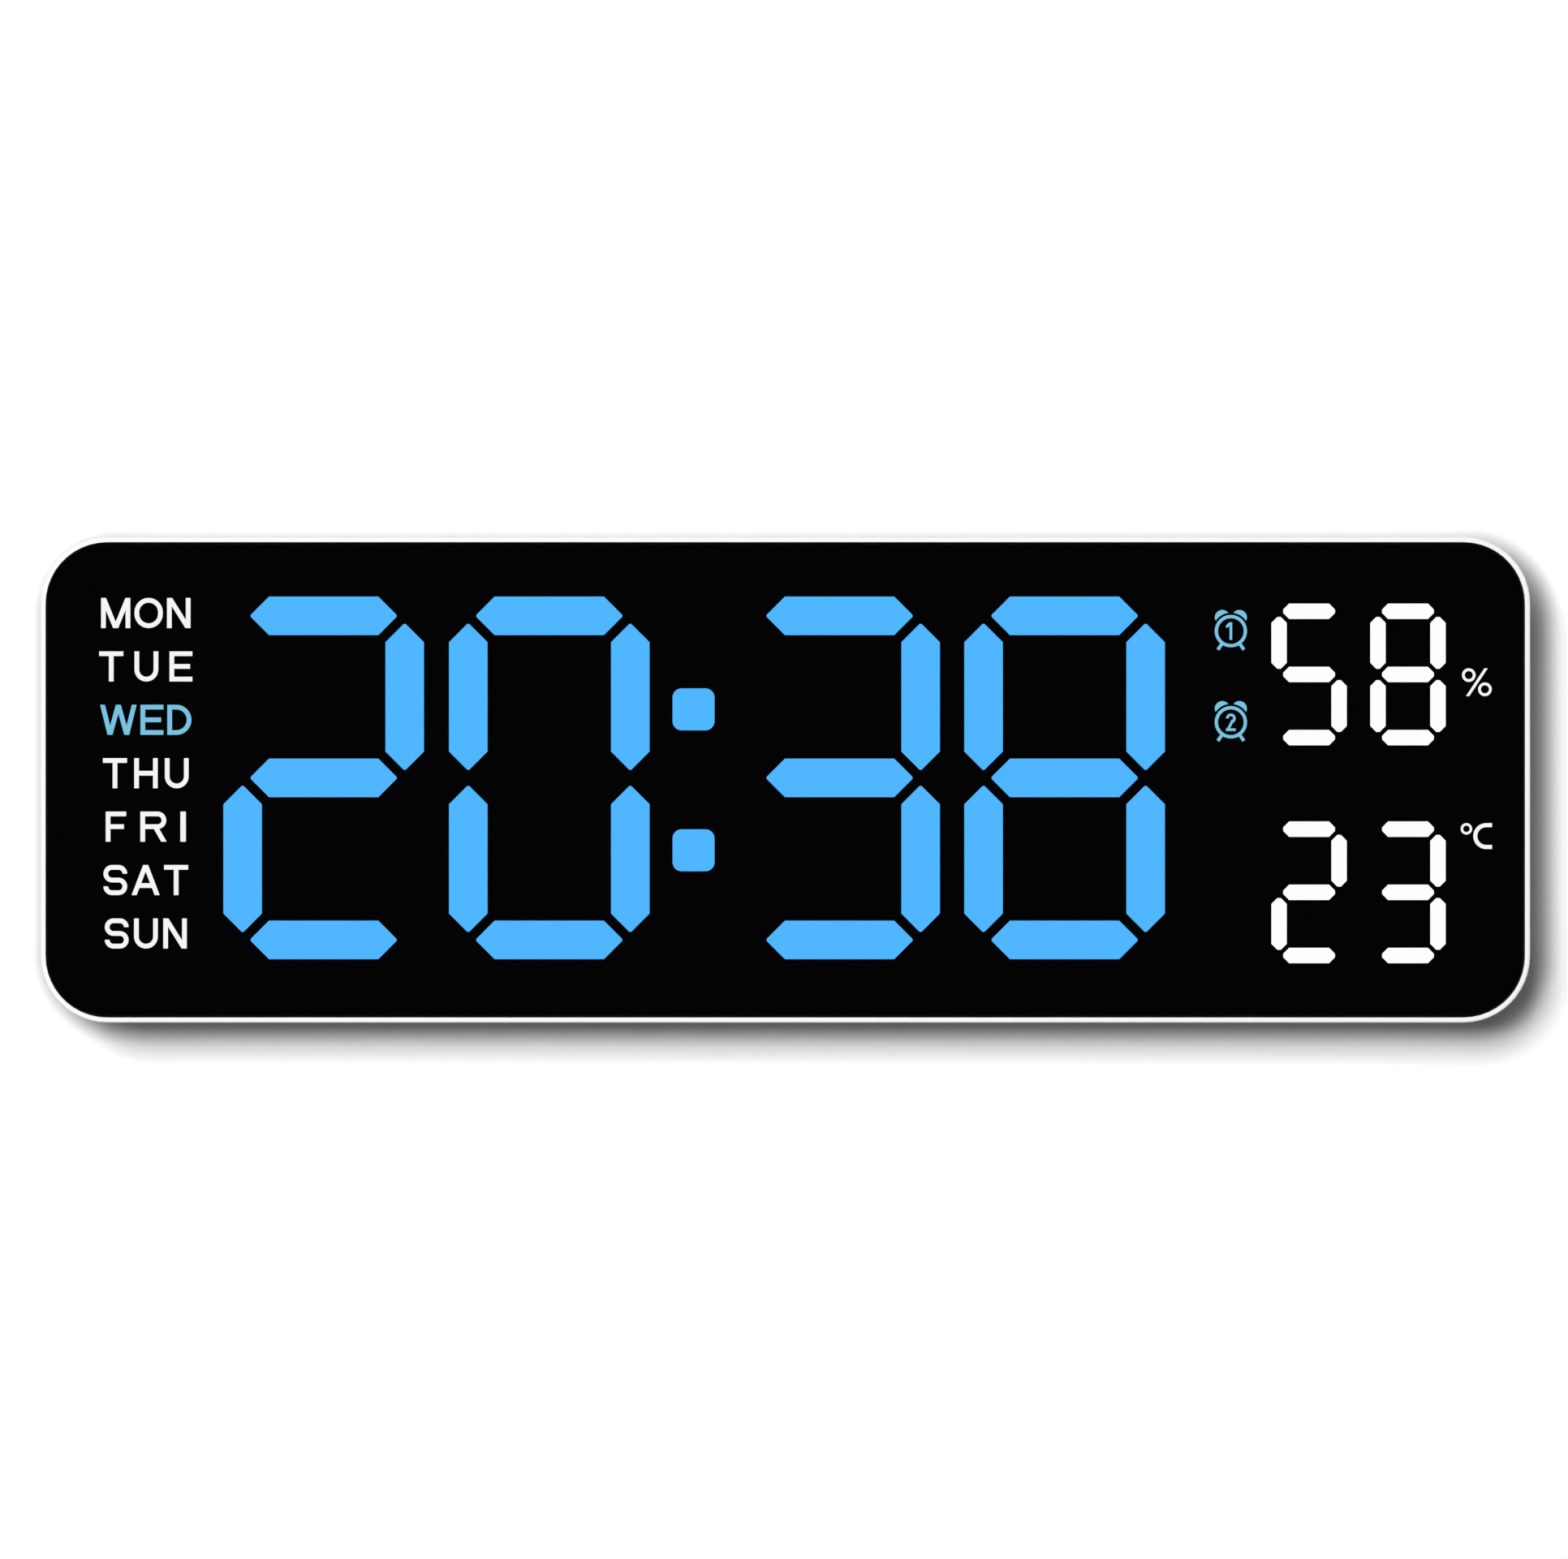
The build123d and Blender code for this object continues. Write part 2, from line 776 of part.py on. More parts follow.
def door_outline(grown, top_z):
    """The door, grown by an even gap: two round corners below and square ones at its hinge."""
    side = door_width / 2 + grown
    low = bay_z - door_height / 2 - grown
    rounded = RectangleRounded(2 * side, top_z - low, door_corner + grown)
    return at((bay_x, (low + top_z) / 2), rounded) + bar(bay_x - side, bay_z, bay_x + side, top_z)


def button_field():
    """The shallow rounded field that the buttons stand in."""
    middle = ((button_places[0][0] + button_places[-1][0]) / 2, button_places[0][1])
    reach = button_radius + button_field_margin
    long = button_places[-1][0] - button_places[0][0] + 2 * reach
    return at(middle, RectangleRounded(long, 2 * reach, reach * button_field_end_share))


def vent_outlines():
    """Upright slots in front of the climate sensor."""
    middle = (sensor_x_share * width, sensor_z_share * height)
    slot = RectangleRounded(vent_width, vent_length, vent_width * vent_end_share)
    return [
        at((middle[0] + (number - (vent_count - 1) / 2) * vent_pitch, middle[1]), slot)
        for number in range(vent_count)
    ]


def sound_outlines():
    """A ring of small holes and one in the middle, over the buzzer."""
    middle = (buzzer_x_share * width, buzzer_z_share * height)
    hole = Circle(sound_hole_radius)
    ring = [
        at(middle, Rot(0, 0, 360 / sound_hole_count * number) * at((sound_ring_radius, 0), hole))
        for number in range(sound_hole_count)
    ]
    return ring + [at(middle, hole)]


def rear_cover():
    """The rear shell with everything moulded into it."""
    tray = slab(case_outline(0), split_y, 0)
    tray = fillet(edges_at(tray, True), back_round)
    tray = tray - slab(case_outline(wall), split_y - overrun, inner_y)
    lip_inset = wall - lip_thickness
    lip = slab(case_outline(lip_inset), split_y - lip_depth + lip_clearance, split_y + lip_depth)
    lip = lip - slab(case_outline(wall), split_y - lip_depth - overrun, split_y + lip_depth + overrun)

    half_wall = inner_y / 2
    groove_radius = barrel_radius + barrel_clearance
    recess_back_y = min(recess_floor_y, leg_hinge_y - groove_radius) - recess_wall
    seat_back_y = door_inner_y - door_seat_gap - door_seat_thickness
    pocket_top_z = door_hinge_z + door_thickness / 2 + door_gap
    solids = [
        lip,
        slab(bay_outline(bay_wall), bay_back_y, half_wall),
        slab(door_outline(door_gap + door_seat, pocket_top_z + door_seat), seat_back_y, half_wall),
        slab(recess_outline(recess_wall), recess_back_y, half_wall),
    ]
    for side in (-1, 1):
        boss_x = side * (recess_width + pin_seat_length) / 2
        boss = at((boss_x, leg_hinge_z), Rectangle(pin_seat_length, pin_boss_height))
        solids.append(slab(boss, recess_back_y, half_wall))
    for place in screw_places:
        solids.append(slab(at(place, Circle(boss_radius)), post_back_y + boss_gap, half_wall))
    for place in press_places:
        solids.append(slab(at(place, Circle(press_post_radius)), board_back_y, half_wall))
    tray = tray + solids

    trunnion_hole = trunnion_radius + trunnion_clearance
    door_side = door_width / 2 + trunnion_length + 2 * door_gap
    cuts = [
        slab(bay_outline(0), bay_floor_y, overrun),
        slab(door_outline(door_gap, pocket_top_z), door_inner_y - door_seat_gap, overrun),
        rod_x(trunnion_hole, bay_x - door_side, bay_x + door_side, door_hinge_y, door_hinge_z),
        slab(recess_outline(0), recess_floor_y, overrun),
        rod_x(groove_radius, -recess_width / 2, recess_width / 2, leg_hinge_y, leg_hinge_z),
        rod_x(pin_radius + pin_seat_clearance, -pin_end - overrun, pin_end, leg_hinge_y, leg_hinge_z),
        slab(button_field(), -button_field_depth, overrun),
    ]
    for place in button_places:
        cuts.append(slab(at(place, Circle(button_radius + button_gap)), inner_y - overrun, overrun))
    for side in (-1, 1):
        hanger = keyhole((side * keyhole_spacing / 2, keyhole_z_share * height))
        cuts.append(slab(hanger, inner_y - overrun, overrun))
    for place in screw_places:
        hole = Circle(screw_radius + screw_hole_clearance)
        cuts.append(slab(at(place, hole), post_back_y - overrun, overrun))
        cuts.append(slab(at(place, Circle(screw_head_radius + screw_hole_clearance)), screw_seat_y, overrun))
    for outline in vent_outlines() + sound_outlines():
        cuts.append(slab(outline, inner_y - overrun, overrun))
    for side, z in ((-1, cell_places[-1]), (1, cell_places[0])):
        wall_x = bay_x + side * (bay_length / 2 + bay_wall / 2)
        slit = Rectangle(2 * contact_thickness, contact_tab_width + 2 * cell_gap)
        reach = bay_wall / 2 + overrun
        cuts.append(block_x(slit, wall_x - reach, wall_x + reach, cell_axis_y, z))
    tray = tray - cuts

    ribs = []
    rib_short = contact_thickness + contact_bow
    for low, high in zip(cell_places[:-1], cell_places[1:]):
        rib = at((bay_x, (low + high) / 2), Rectangle(bay_length - 2 * rib_short, bay_rib_width))
        ribs.append(slab(rib, bay_floor_y - bay_wall / 2, bay_floor_y + bay_rib_height))
    return tray + ribs


# Front stack

def front_lens():
    plate = slab(case_outline(rim + lens_gap), lens_front_y, lens_back_y)
    return chamfer(edges_at(plate, False), lens_edge)


def lens_adhesive():
    ring = case_outline(rim + lens_gap) - case_outline(ledge)
    return slab(ring, lens_back_y, ledge_front_y)


def segment_windows(digit_grown, small_grown):
    """Openings for every segment and for the colon, grown by even gaps."""
    openings = []
    for place in digit_places:
        openings += big_digit(place, segment_shares, digit_grown)
    for place, figure in small_digits:
        openings += small_digit(place, segment_shares, small_grown)
    dot_side = colon_side + 2 * digit_grown
    dot = RectangleRounded(dot_side, dot_side, colon_corner + digit_grown)
    return openings + [at(place, dot) for place in colon_places]


def legend_wells():
    """Wells of the reflector behind the words, icons and signs."""
    margin = weekday_well_margin
    word = Rectangle(weekday_width + 2 * margin, letter_height + 2 * margin)
    icon = Circle(icon_radius + icon_well_margin)
    sign = Rectangle(percent_width + sign_well_margin, percent_height + 2 * sign_well_margin)
    wells = [at(place, word) for place in weekday_places]
    wells += [at(place, icon) for place in icon_places]
    return wells + [at(place, sign) for place in sign_places]


def display_mask():
    """The black mask: windows for the segments, shallow pockets for the legends."""
    plate = slab(case_outline(ledge + mask_gap) - segment_windows(0, 0), lens_back_y, mask_back_y)
    pockets = [solid for name in legend_outlines for solid in legend_solids(name)]
    return plate - pockets


def reflector_frame():
    """The white frame whose wells keep each segment's light apart."""
    outline = case_outline(ledge + mask_gap) - segment_windows(digit_well_gap, small_well_gap)
    outline = outline - legend_wells() - post_notches()
    frame = slab(outline, mask_back_y, reflector_back_y)
    pilot = Circle(board_screw_radius + screw_thread_clearance)
    pilot_front = board_back_y - board_screw_length - board_thickness / 2
    return frame - [slab(at(place, pilot), pilot_front, board_back_y) for place in board_screw_places]


def light_blocks(outlines, block_depth):
    """Translucent blocks whose fronts lie behind the lens."""
    return [slab(outline, lens_back_y, lens_back_y + block_depth) for outline in outlines]


def legend_solids(name):
    return [slab(outline, lens_back_y, lens_back_y + legend_depth) for outline in legend_outlines[name]]


def unlit_segments():
    blocks = []
    for place, figure in zip(digit_places, digit_reading):
        blocks += light_blocks(big_digit(place, dark(lit_segments[figure])), digit_block_depth)
    for place, figure in small_digits:
        blocks += light_blocks(small_digit(place, dark(lit_segments[figure])), small_block_depth)
    return blocks


def readout_segments(places, reading):
    blocks = []
    for place, figure in zip(places, reading):
        blocks += light_blocks(small_digit(place, lit_segments[figure]), small_block_depth)
    return blocks


def colon_dots():
    dot = RectangleRounded(colon_side, colon_side, colon_corner)
    return light_blocks([at(place, dot) for place in colon_places], digit_block_depth)


# Board and what stands on it

def main_board():
    outline = case_outline(ledge + mask_gap) - post_notches()
    holes = [at(place, Circle(board_screw_radius + screw_hole_clearance)) for place in board_screw_places]
    return slab(outline - holes, reflector_back_y, board_back_y)


def digit_lamps():
    """Two lamps behind each segment of the big digits and one behind each colon dot."""
    lamp = Rectangle(digit_lamp_length, digit_lamp_width)
    outlines = [at(place, lamp) for place in colon_places]
    for side in (-1, 1):
        level = at((side * digit_lamp_share * digit_column, 0), lamp)
        upright = at((side * digit_lamp_share * digit_row, 0), lamp)
        for place in digit_places:
            for name in segment_shares:
                outlines.append(put_segment(place, name, digit_column, digit_row, level, upright))
    return [slab(outline, reflector_back_y - digit_lamp_height, reflector_back_y) for outline in outlines]


def legend_lamps():
    """Small lamps behind the readouts, the weekdays, the icons and the signs."""
    lamp = Rectangle(legend_lamp_length, legend_lamp_width)
    outlines = [at(place, lamp) for place in icon_places + sign_places]
    for place, figure in small_digits:
        for name in segment_shares:
            outlines.append(put_segment(place, name, small_column, small_row, lamp, lamp))
    for place in weekday_places:
        for side in (-1, 1):
            outlines.append(at((place[0] + side * weekday_lamp_share * weekday_width, place[1]), lamp))
    return [slab(outline, reflector_back_y - legend_lamp_height, reflector_back_y) for outline in outlines]


def on_board(outline, tall, edge):
    """A part that stands on the rear of the board, with its top edges eased."""
    return chamfer(edges_at(slab(outline, board_back_y, board_back_y + tall), True), edge)


def chip_leads(across):
    """Rows of short leads along both long sides of a chip, from the board up."""
    leads = []
    for side in (-1, 1):
        for number in range(chip_lead_count):
            x = (number - (chip_lead_count - 1) / 2) * chip_lead_pitch
            z = side * (across + chip_lead_length) / 2
            leads.append(at((x, z), Rectangle(chip_lead_width, chip_lead_length)))
    return leads


def control_chip():
    place = (chip_x_share * width, chip_z_share * height)
    body = on_board(at(place, Rectangle(chip_side, chip_side)), chip_height, chip_edge)
    outlines = chip_leads(chip_side)
    outlines += [Rot(0, 0, 90) * lead for lead in outlines]
    leads = [slab(at(place, lead), board_back_y, board_back_y + chip_lead_height) for lead in outlines]
    return body + leads


def driver_chips():
    chips = []
    for x_share in driver_x_shares:
        place = (x_share * width, driver_z_share * height)
        body = on_board(at(place, Rectangle(driver_length, driver_width)), driver_height, chip_edge)
        outlines = chip_leads(driver_width)
        leads = [slab(at(place, lead), board_back_y, board_back_y + chip_lead_height) for lead in outlines]
        chips.append(body + leads)
    return chips


def clock_crystal():
    """A small metal can lying on the board."""
    x, z = crystal_x_share * width, crystal_z_share * height
    half = crystal_length / 2
    return rod_x(crystal_radius, x - half, x + half, board_back_y + crystal_radius, z)


def capacitors():
    z = capacitor_z_share * height
    return [
        on_board(at((x_share * width, z), Circle(capacitor_radius)), capacitor_height, capacitor_edge)
        for x_share in capacitor_x_shares
    ]


def buzzer():
    place = (buzzer_x_share * width, buzzer_z_share * height)
    body = on_board(at(place, Circle(buzzer_radius)), buzzer_height, buzzer_edge)
    top = board_back_y + buzzer_height
    return body - slab(at(place, Circle(buzzer_port_radius)), top - buzzer_height / 2, top + overrun)


def climate_sensor():
    place = (sensor_x_share * width, sensor_z_share * height)
    body = on_board(at(place, Rectangle(sensor_side, sensor_side)), sensor_height, chip_edge)
    top = board_back_y + sensor_height
    return body - slab(at(place, Circle(sensor_window_radius)), top - sensor_height / 2, top + overrun)


def socket_section(drawn_in):
    tall = socket_height - 2 * drawn_in
    return RectangleRounded(tall, socket_width - 2 * drawn_in, tall * socket_end_share)


def power_socket_shell():
    """A flat rounded tube, closed at its inner end, lying on the board."""
    end_x = socket_mouth_x + socket_length
    tube = block_x(socket_section(0), socket_mouth_x, end_x, socket_axis_y, socket_z)
    inside = socket_section(socket_wall)
    return tube - block_x(inside, socket_mouth_x - overrun, end_x - socket_wall, socket_axis_y, socket_z)


def power_socket_tongue():
    """The contact tongue in the middle of the socket, on its insulating block."""
    end_x = socket_mouth_x + socket_length - socket_wall
    tongue_x = end_x - tongue_length
    tongue = Rectangle(tongue_thickness, tongue_width)
    base_x = end_x - tongue_length / 4
    base = socket_section(socket_wall + contact_gap)
    blade = block_x(tongue, tongue_x, end_x, socket_axis_y, socket_z)
    return blade + block_x(base, base_x, end_x, socket_axis_y, socket_z)


# Buttons

def switch_bodies():
    """Square switch bodies, each with a round well for its plunger."""
    bodies = []
    for place in button_places:
        body = on_board(at(place, Rectangle(switch_side, switch_side)), switch_height, switch_edge)
        well = at(place, Circle(plunger_radius + plunger_clearance))
        bodies.append(body - slab(well, switch_top_y - plunger_sink - plunger_room, switch_top_y + overrun))
    return bodies


def switch_plunger(place):
    return slab(at(place, Circle(plunger_radius)), switch_top_y - plunger_sink, plunger_top_y)


def button_mark_outline(name):
    """A plain sign for each button: cross, triangles, ring and dot."""
    tall = button_mark
    half = tall / 2
    if name == "set":
        return Rectangle(2 * tall, button_mark_stroke) + Rectangle(button_mark_stroke, 2 * tall)
    if name == "up":
        return Polygon((-tall, -half), (tall, -half), (0, tall), align=None)
    if name == "down":
        return Polygon((tall, half), (-tall, half), (0, -tall), align=None)
    if name == "alarm":
        return Circle(tall) - Circle(tall - button_mark_stroke)
    return Circle(half)


def rear_button(name, place):
    """A round cap with a flange behind the wall and a stem to its switch."""
    cap = slab(at(place, Circle(button_radius)), button_flange_y, button_face_y)
    cap = fillet(edges_at(cap, True), button_edge)
    flange = slab(at(place, Circle(button_radius + button_flange)), button_stem_y, button_flange_y)
    stem = slab(at(place, Circle(button_stem_radius)), plunger_top_y, button_stem_y)
    mark = at(place, button_mark_outline(name))
    return cap + [flange, stem] - slab(mark, button_face_y - button_mark_depth, button_face_y + overrun)


# Power

def battery_cells():
    """Three cells side by side, every other one turned round."""
    cells = []
    for number, z in enumerate(cell_places):
        hand = 1 if number % 2 == 0 else -1
        nub_end = bay_x - hand * (bay_length / 2 - contact_thickness - contact_gap)
        shoulder = nub_end + hand * cell_nub_height
        base = nub_end + hand * cell_length
        body = rod_x(cell_radius, min(shoulder, base), max(shoulder, base), cell_axis_y, z)
        body = fillet(body.edges().filter_by(GeomType.CIRCLE), cell_edge)
        nub = rod_x(cell_nub_radius, min(nub_end, shoulder), max(nub_end, shoulder), cell_axis_y, z)
        cells.append(body + nub)
    return cells


def contact_plate(side, z_low, z_high):
    """A flat plate on an end wall of the bay."""
    wall_x = bay_x + side * bay_length / 2
    inside_x = wall_x - side * contact_thickness
    tall = z_high - z_low + contact_height
    plate = Rectangle(contact_width, tall)
    middle_z = (z_low + z_high) / 2
    return block_x(plate, min(wall_x, inside_x), max(wall_x, inside_x), cell_axis_y, middle_z)


def contact_leaf(side, z):
    """A bowed leaf that bears on the base of a cell."""
    inside_x = bay_x + side * (bay_length / 2 - contact_thickness)
    half = contact_height / 2 - contact_thickness
    bow = contact_bow
    radius = (half * half + bow * bow) / (2 * bow)
    centre_x = inside_x - side * (bow - radius)
    ring = Circle(radius) - Circle(radius - contact_thickness)
    beyond = 2 * radius
    kept = at((-side * (radius - bow / 2), 0), Rectangle(bow, beyond))
    origin = (centre_x, cell_axis_y + contact_leaf_width / 2, z)
    plane = Plane(origin=origin, x_dir=(1, 0, 0), z_dir=(0, -1, 0))
    return extrude(plane * (ring & kept), amount=contact_leaf_width)


def contact_tab(side, z):
    """A tab through the end wall, to which a lead is soldered."""
    inside_x = bay_x + side * (bay_length / 2 - contact_thickness)
    outside_x = bay_x + side * (bay_length / 2 + contact_tab_length)
    tab = Rectangle(contact_thickness, contact_tab_width)
    return block_x(tab, min(inside_x, outside_x), max(inside_x, outside_x), cell_axis_y, z)


def battery_contacts():
    """Single contacts at the ends of the chain and bridges between neighbouring cells."""
    first, middle, last = cell_places[0], cell_places[cell_count // 2], cell_places[-1]
    return [
        contact_plate(-1, first, middle) + contact_leaf(-1, middle),
        contact_plate(-1, last, last) + contact_tab(-1, last),
        contact_plate(1, middle, last) + contact_leaf(1, last),
        contact_plate(1, first, first) + [contact_leaf(1, first), contact_tab(1, first)],
    ]


def battery_lead(side, z):
    """A short insulated lead from a contact tab to the board."""
    start_x = bay_x + side * (bay_length / 2 + contact_tab_length)
    turn_x = start_x + side * lead_run
    path = FilletPolyline(
        (start_x, cell_axis_y, z), (turn_x, cell_axis_y, z), (turn_x, board_back_y, z), radius=lead_bend
    )
    plane = Plane(origin=(start_x, cell_axis_y, z), x_dir=(0, 1, 0), z_dir=(side, 0, 0))
    return sweep(plane * Circle(lead_radius), path=path)


def battery_door():
    """The flush door with trunnions along its top edge, a latch tongue and grip grooves."""
    outer_y = -door_recess
    round_end = door_thickness / 2
    low = bay_z - door_height / 2
    plate = slab(door_outline(0, door_hinge_z), door_inner_y, outer_y)
    edge = rod_x(round_end, bay_x - door_width / 2, bay_x + door_width / 2, door_hinge_y, door_hinge_z)
    pin_x = door_width / 2 + door_gap + trunnion_length
    pins = rod_x(trunnion_radius, bay_x - pin_x, bay_x + pin_x, door_hinge_y, door_hinge_z)
    door = plate + [edge, pins]
    for side in (-1, 1):
        x = bay_x + side * latch_width / 2
        door = door - slab(
            bar(x - latch_slit / 2, low - overrun, x + latch_slit / 2, low + latch_length),
            door_inner_y - overrun, overrun,
        )
    for number in range(grip_count):
        z = low + latch_length / 2 + (number - (grip_count - 1) / 2) * grip_pitch / 2
        groove = at((bay_x, z), Rectangle(latch_width - 4 * latch_slit, grip_width / 2))
        door = door - slab(groove, outer_y - grip_depth, overrun)
    return door


# Stand

def stand_leg():
    """A flat leg with a hinge barrel along its top edge and a thumb notch at its foot."""
    outer_y = -leg_recess
    inner = outer_y - leg_thickness
    tall = leg_hinge_z - leg_end_z
    outline = at((0, (leg_hinge_z + leg_end_z) / 2), RectangleRounded(leg_width, tall, leg_corner))
    outline = outline + bar(-leg_width / 2, leg_hinge_z - tall / 2, leg_width / 2, leg_hinge_z)
    notch = at((0, leg_end_z + leg_notch_depth - leg_notch_radius), Circle(leg_notch_radius))
    plate = slab(outline - notch, inner, outer_y)
    plate = chamfer(edges_at(plate, True), leg_edge)
    panel_low = leg_end_z + leg_notch_depth + leg_panel_margin / 2
    panel_top = leg_hinge_z - barrel_radius - leg_panel_margin / 2
    panel = at(
        (0, (panel_low + panel_top) / 2),
        RectangleRounded(leg_width - 2 * leg_panel_margin, panel_top - panel_low, leg_corner / 2),
    )
    plate = plate - slab(panel, outer_y - leg_panel_depth, overrun)
    barrel = rod_x(barrel_radius, -leg_width / 2, leg_width / 2, leg_hinge_y, leg_hinge_z)
    bore = rod_x(pin_radius + pin_running_clearance, -leg_width, leg_width, leg_hinge_y, leg_hinge_z)
    return plate + barrel - bore


def stand_pin():
    return rod_x(pin_radius, -pin_end, pin_end, leg_hinge_y, leg_hinge_z)


# Fasteners

def screw(place, seat_y, radius, length, head_radius, head_height):
    """A round-headed screw with a cross slot, driven in from the rear."""
    shank = slab(at(place, Circle(radius)), seat_y - length, seat_y)
    head = slab(at(place, Circle(head_radius)), seat_y, seat_y + head_height)
    head = fillet(edges_at(head, True), head_height / 2)
    long = 2 * head_radius * screw_slot_share
    cross = Rectangle(long, screw_slot_width) + Rectangle(screw_slot_width, long)
    top = seat_y + head_height
    return shank + head - slab(at(place, cross), top - screw_slot_depth, top + overrun)


def housing_screws():
    return [
        screw(place, screw_seat_y, screw_radius, screw_length, screw_head_radius, screw_head_height)
        for place in screw_places
    ]


def board_screws():
    return [
        screw(
            place, board_back_y, board_screw_radius, board_screw_length,
            board_screw_head_radius, board_screw_head_height,
        )
        for place in board_screw_places
    ]


# Every piece under its name

pieces = {
    "front_housing": front_housing(),
    "rear_cover": rear_cover(),
    "front_lens": front_lens(),
    "lens_adhesive": lens_adhesive(),
    "display_mask": display_mask(),
    "reflector_frame": reflector_frame(),
    "colon_dots": colon_dots(),
    "humidity_segments": readout_segments(humidity_places, humidity_reading),
    "temperature_segments": readout_segments(temperature_places, temperature_reading),
    "unlit_segments": unlit_segments(),
    "main_board": main_board(),
    "digit_lamps": digit_lamps(),
    "legend_lamps": legend_lamps(),
    "control_chip": control_chip(),
    "driver_chips": driver_chips(),
    "clock_crystal": clock_crystal(),
    "capacitors": capacitors(),
    "buzzer": buzzer(),
    "climate_sensor": climate_sensor(),
    "power_socket_shell": power_socket_shell(),
    "power_socket_tongue": power_socket_tongue(),
    "switch_bodies": switch_bodies(),
    "battery_cells": battery_cells(),
    "battery_contacts": battery_contacts(),
    "battery_lead_red": battery_lead(-1, cell_places[-1]),
    "battery_lead_black": battery_lead(1, cell_places[0]),
    "battery_door": battery_door(),
    "stand_leg": stand_leg(),
    "stand_pin": stand_pin(),
    "housing_screws": housing_screws(),
    "board_screws": board_screws(),
}
for digit_name, place, figure in zip(
    ("hour_tens", "hour_ones", "minute_tens", "minute_ones"), digit_places, digit_reading
):
    outlines = big_digit(place, lit_segments[figure])
    pieces[digit_name + "_segments"] = light_blocks(outlines, digit_block_depth)
for legend_name in legend_outlines:
    pieces[legend_name] = legend_solids(legend_name)
for button_name, place in zip(button_names, button_places):
    pieces[button_name + "_button"] = rear_button(button_name, place)
    pieces[button_name + "_plunger"] = switch_plunger(place)

os.makedirs("parts", exist_ok=True)
for piece_name, shape in pieces.items():
    if isinstance(shape, list):
        shape = Compound(children=[solid for item in shape for solid in item.solids()])
    export_step(shape, os.path.join("parts", piece_name + ".step"))
    print(piece_name, len(shape.solids()), "solids,", round(shape.volume), "mm3")
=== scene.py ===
import json
import math

import bpy
import numpy as np
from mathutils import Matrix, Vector


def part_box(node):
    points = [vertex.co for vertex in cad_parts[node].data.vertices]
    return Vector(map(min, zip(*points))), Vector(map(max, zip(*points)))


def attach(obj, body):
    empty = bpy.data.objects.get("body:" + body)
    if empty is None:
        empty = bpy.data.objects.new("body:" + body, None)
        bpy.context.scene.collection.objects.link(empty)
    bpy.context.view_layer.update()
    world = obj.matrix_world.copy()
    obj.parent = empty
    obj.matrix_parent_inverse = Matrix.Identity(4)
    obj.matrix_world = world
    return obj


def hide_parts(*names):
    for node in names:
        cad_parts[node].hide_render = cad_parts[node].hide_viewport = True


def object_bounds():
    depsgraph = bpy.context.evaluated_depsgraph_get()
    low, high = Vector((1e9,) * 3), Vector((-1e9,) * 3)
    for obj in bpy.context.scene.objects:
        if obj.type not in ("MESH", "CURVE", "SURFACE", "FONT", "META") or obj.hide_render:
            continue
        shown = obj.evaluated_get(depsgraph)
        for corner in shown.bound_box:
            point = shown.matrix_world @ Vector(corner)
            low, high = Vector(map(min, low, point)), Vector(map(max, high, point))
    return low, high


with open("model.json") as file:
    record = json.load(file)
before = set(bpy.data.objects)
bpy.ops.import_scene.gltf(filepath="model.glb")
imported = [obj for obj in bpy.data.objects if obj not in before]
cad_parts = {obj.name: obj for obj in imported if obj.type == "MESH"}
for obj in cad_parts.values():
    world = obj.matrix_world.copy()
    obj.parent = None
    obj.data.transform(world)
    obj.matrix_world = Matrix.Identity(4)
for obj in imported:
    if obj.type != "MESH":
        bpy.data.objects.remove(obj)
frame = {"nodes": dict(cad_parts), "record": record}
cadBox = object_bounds()
nodes = frame["nodes"]
slotOf = {row["node"]: row["material_slot"] for row in frame["record"]["subparts"]}
mm = 0.001
print("frame:", len(nodes), "pieces from the solid model")


def addObject(name, data):
    made = bpy.data.objects.new(name, data)
    bpy.context.scene.collection.objects.link(made)
    return made


# Camera, square on to the face and far enough back that the side walls stay hidden
cameraView = {
    "lens": 150.0,
    "sensor": 36.0,
    "frameWidth": 242.04 * mm,  # what the picture spans at the front plane
    "asideX": -0.2 * mm,
    "asideZ": 0.05 * mm,
}


def makeCamera(view):
    data = bpy.data.cameras.new("camera")
    data.lens = view["lens"]
    data.sensor_width = view["sensor"]
    data.sensor_fit = "HORIZONTAL"
    camera = addObject("camera", data)
    distance = view["frameWidth"] * view["lens"] / view["sensor"]
    camera.location = (view["asideX"], cadBox[0].y - distance, view["asideZ"])
    camera.rotation_euler = (math.pi / 2, 0, 0)
    bpy.context.scene.camera = camera


makeCamera(cameraView)
bpy.context.scene.view_settings.view_transform = "Standard"
print("camera: square on to the face")


# Shader nodes

def feed(tree, socket, value):
    if isinstance(value, bpy.types.NodeSocket):
        tree.links.new(value, socket)
    else:
        socket.default_value = value


def addNode(tree, kind, inputs=None, **options):
    made = tree.nodes.new("ShaderNode" + kind)
    for name, value in options.items():
        setattr(made, name, value)
    for name, value in (inputs or {}).items():
        feed(tree, made.inputs[name], value)
    return made


def calc(tree, operation, *values):
    return addNode(tree, "Math", dict(enumerate(values)), operation=operation).outputs[0]


def ramp(tree, value, low, high):  # 0 at low, 1 at high, eased at both ends
    inputs = {"Value": value, "From Min": low, "From Max": high}
    return addNode(tree, "MapRange", inputs, interpolation_type="SMOOTHSTEP").outputs[0]


def blend(tree, share, first, second):  # one colour into another
    made = addNode(tree, "Mix", data_type="RGBA")
    feed(tree, made.inputs[0], share)
    feed(tree, made.inputs[6], first)
    feed(tree, made.inputs[7], second)
    return made.outputs[2]


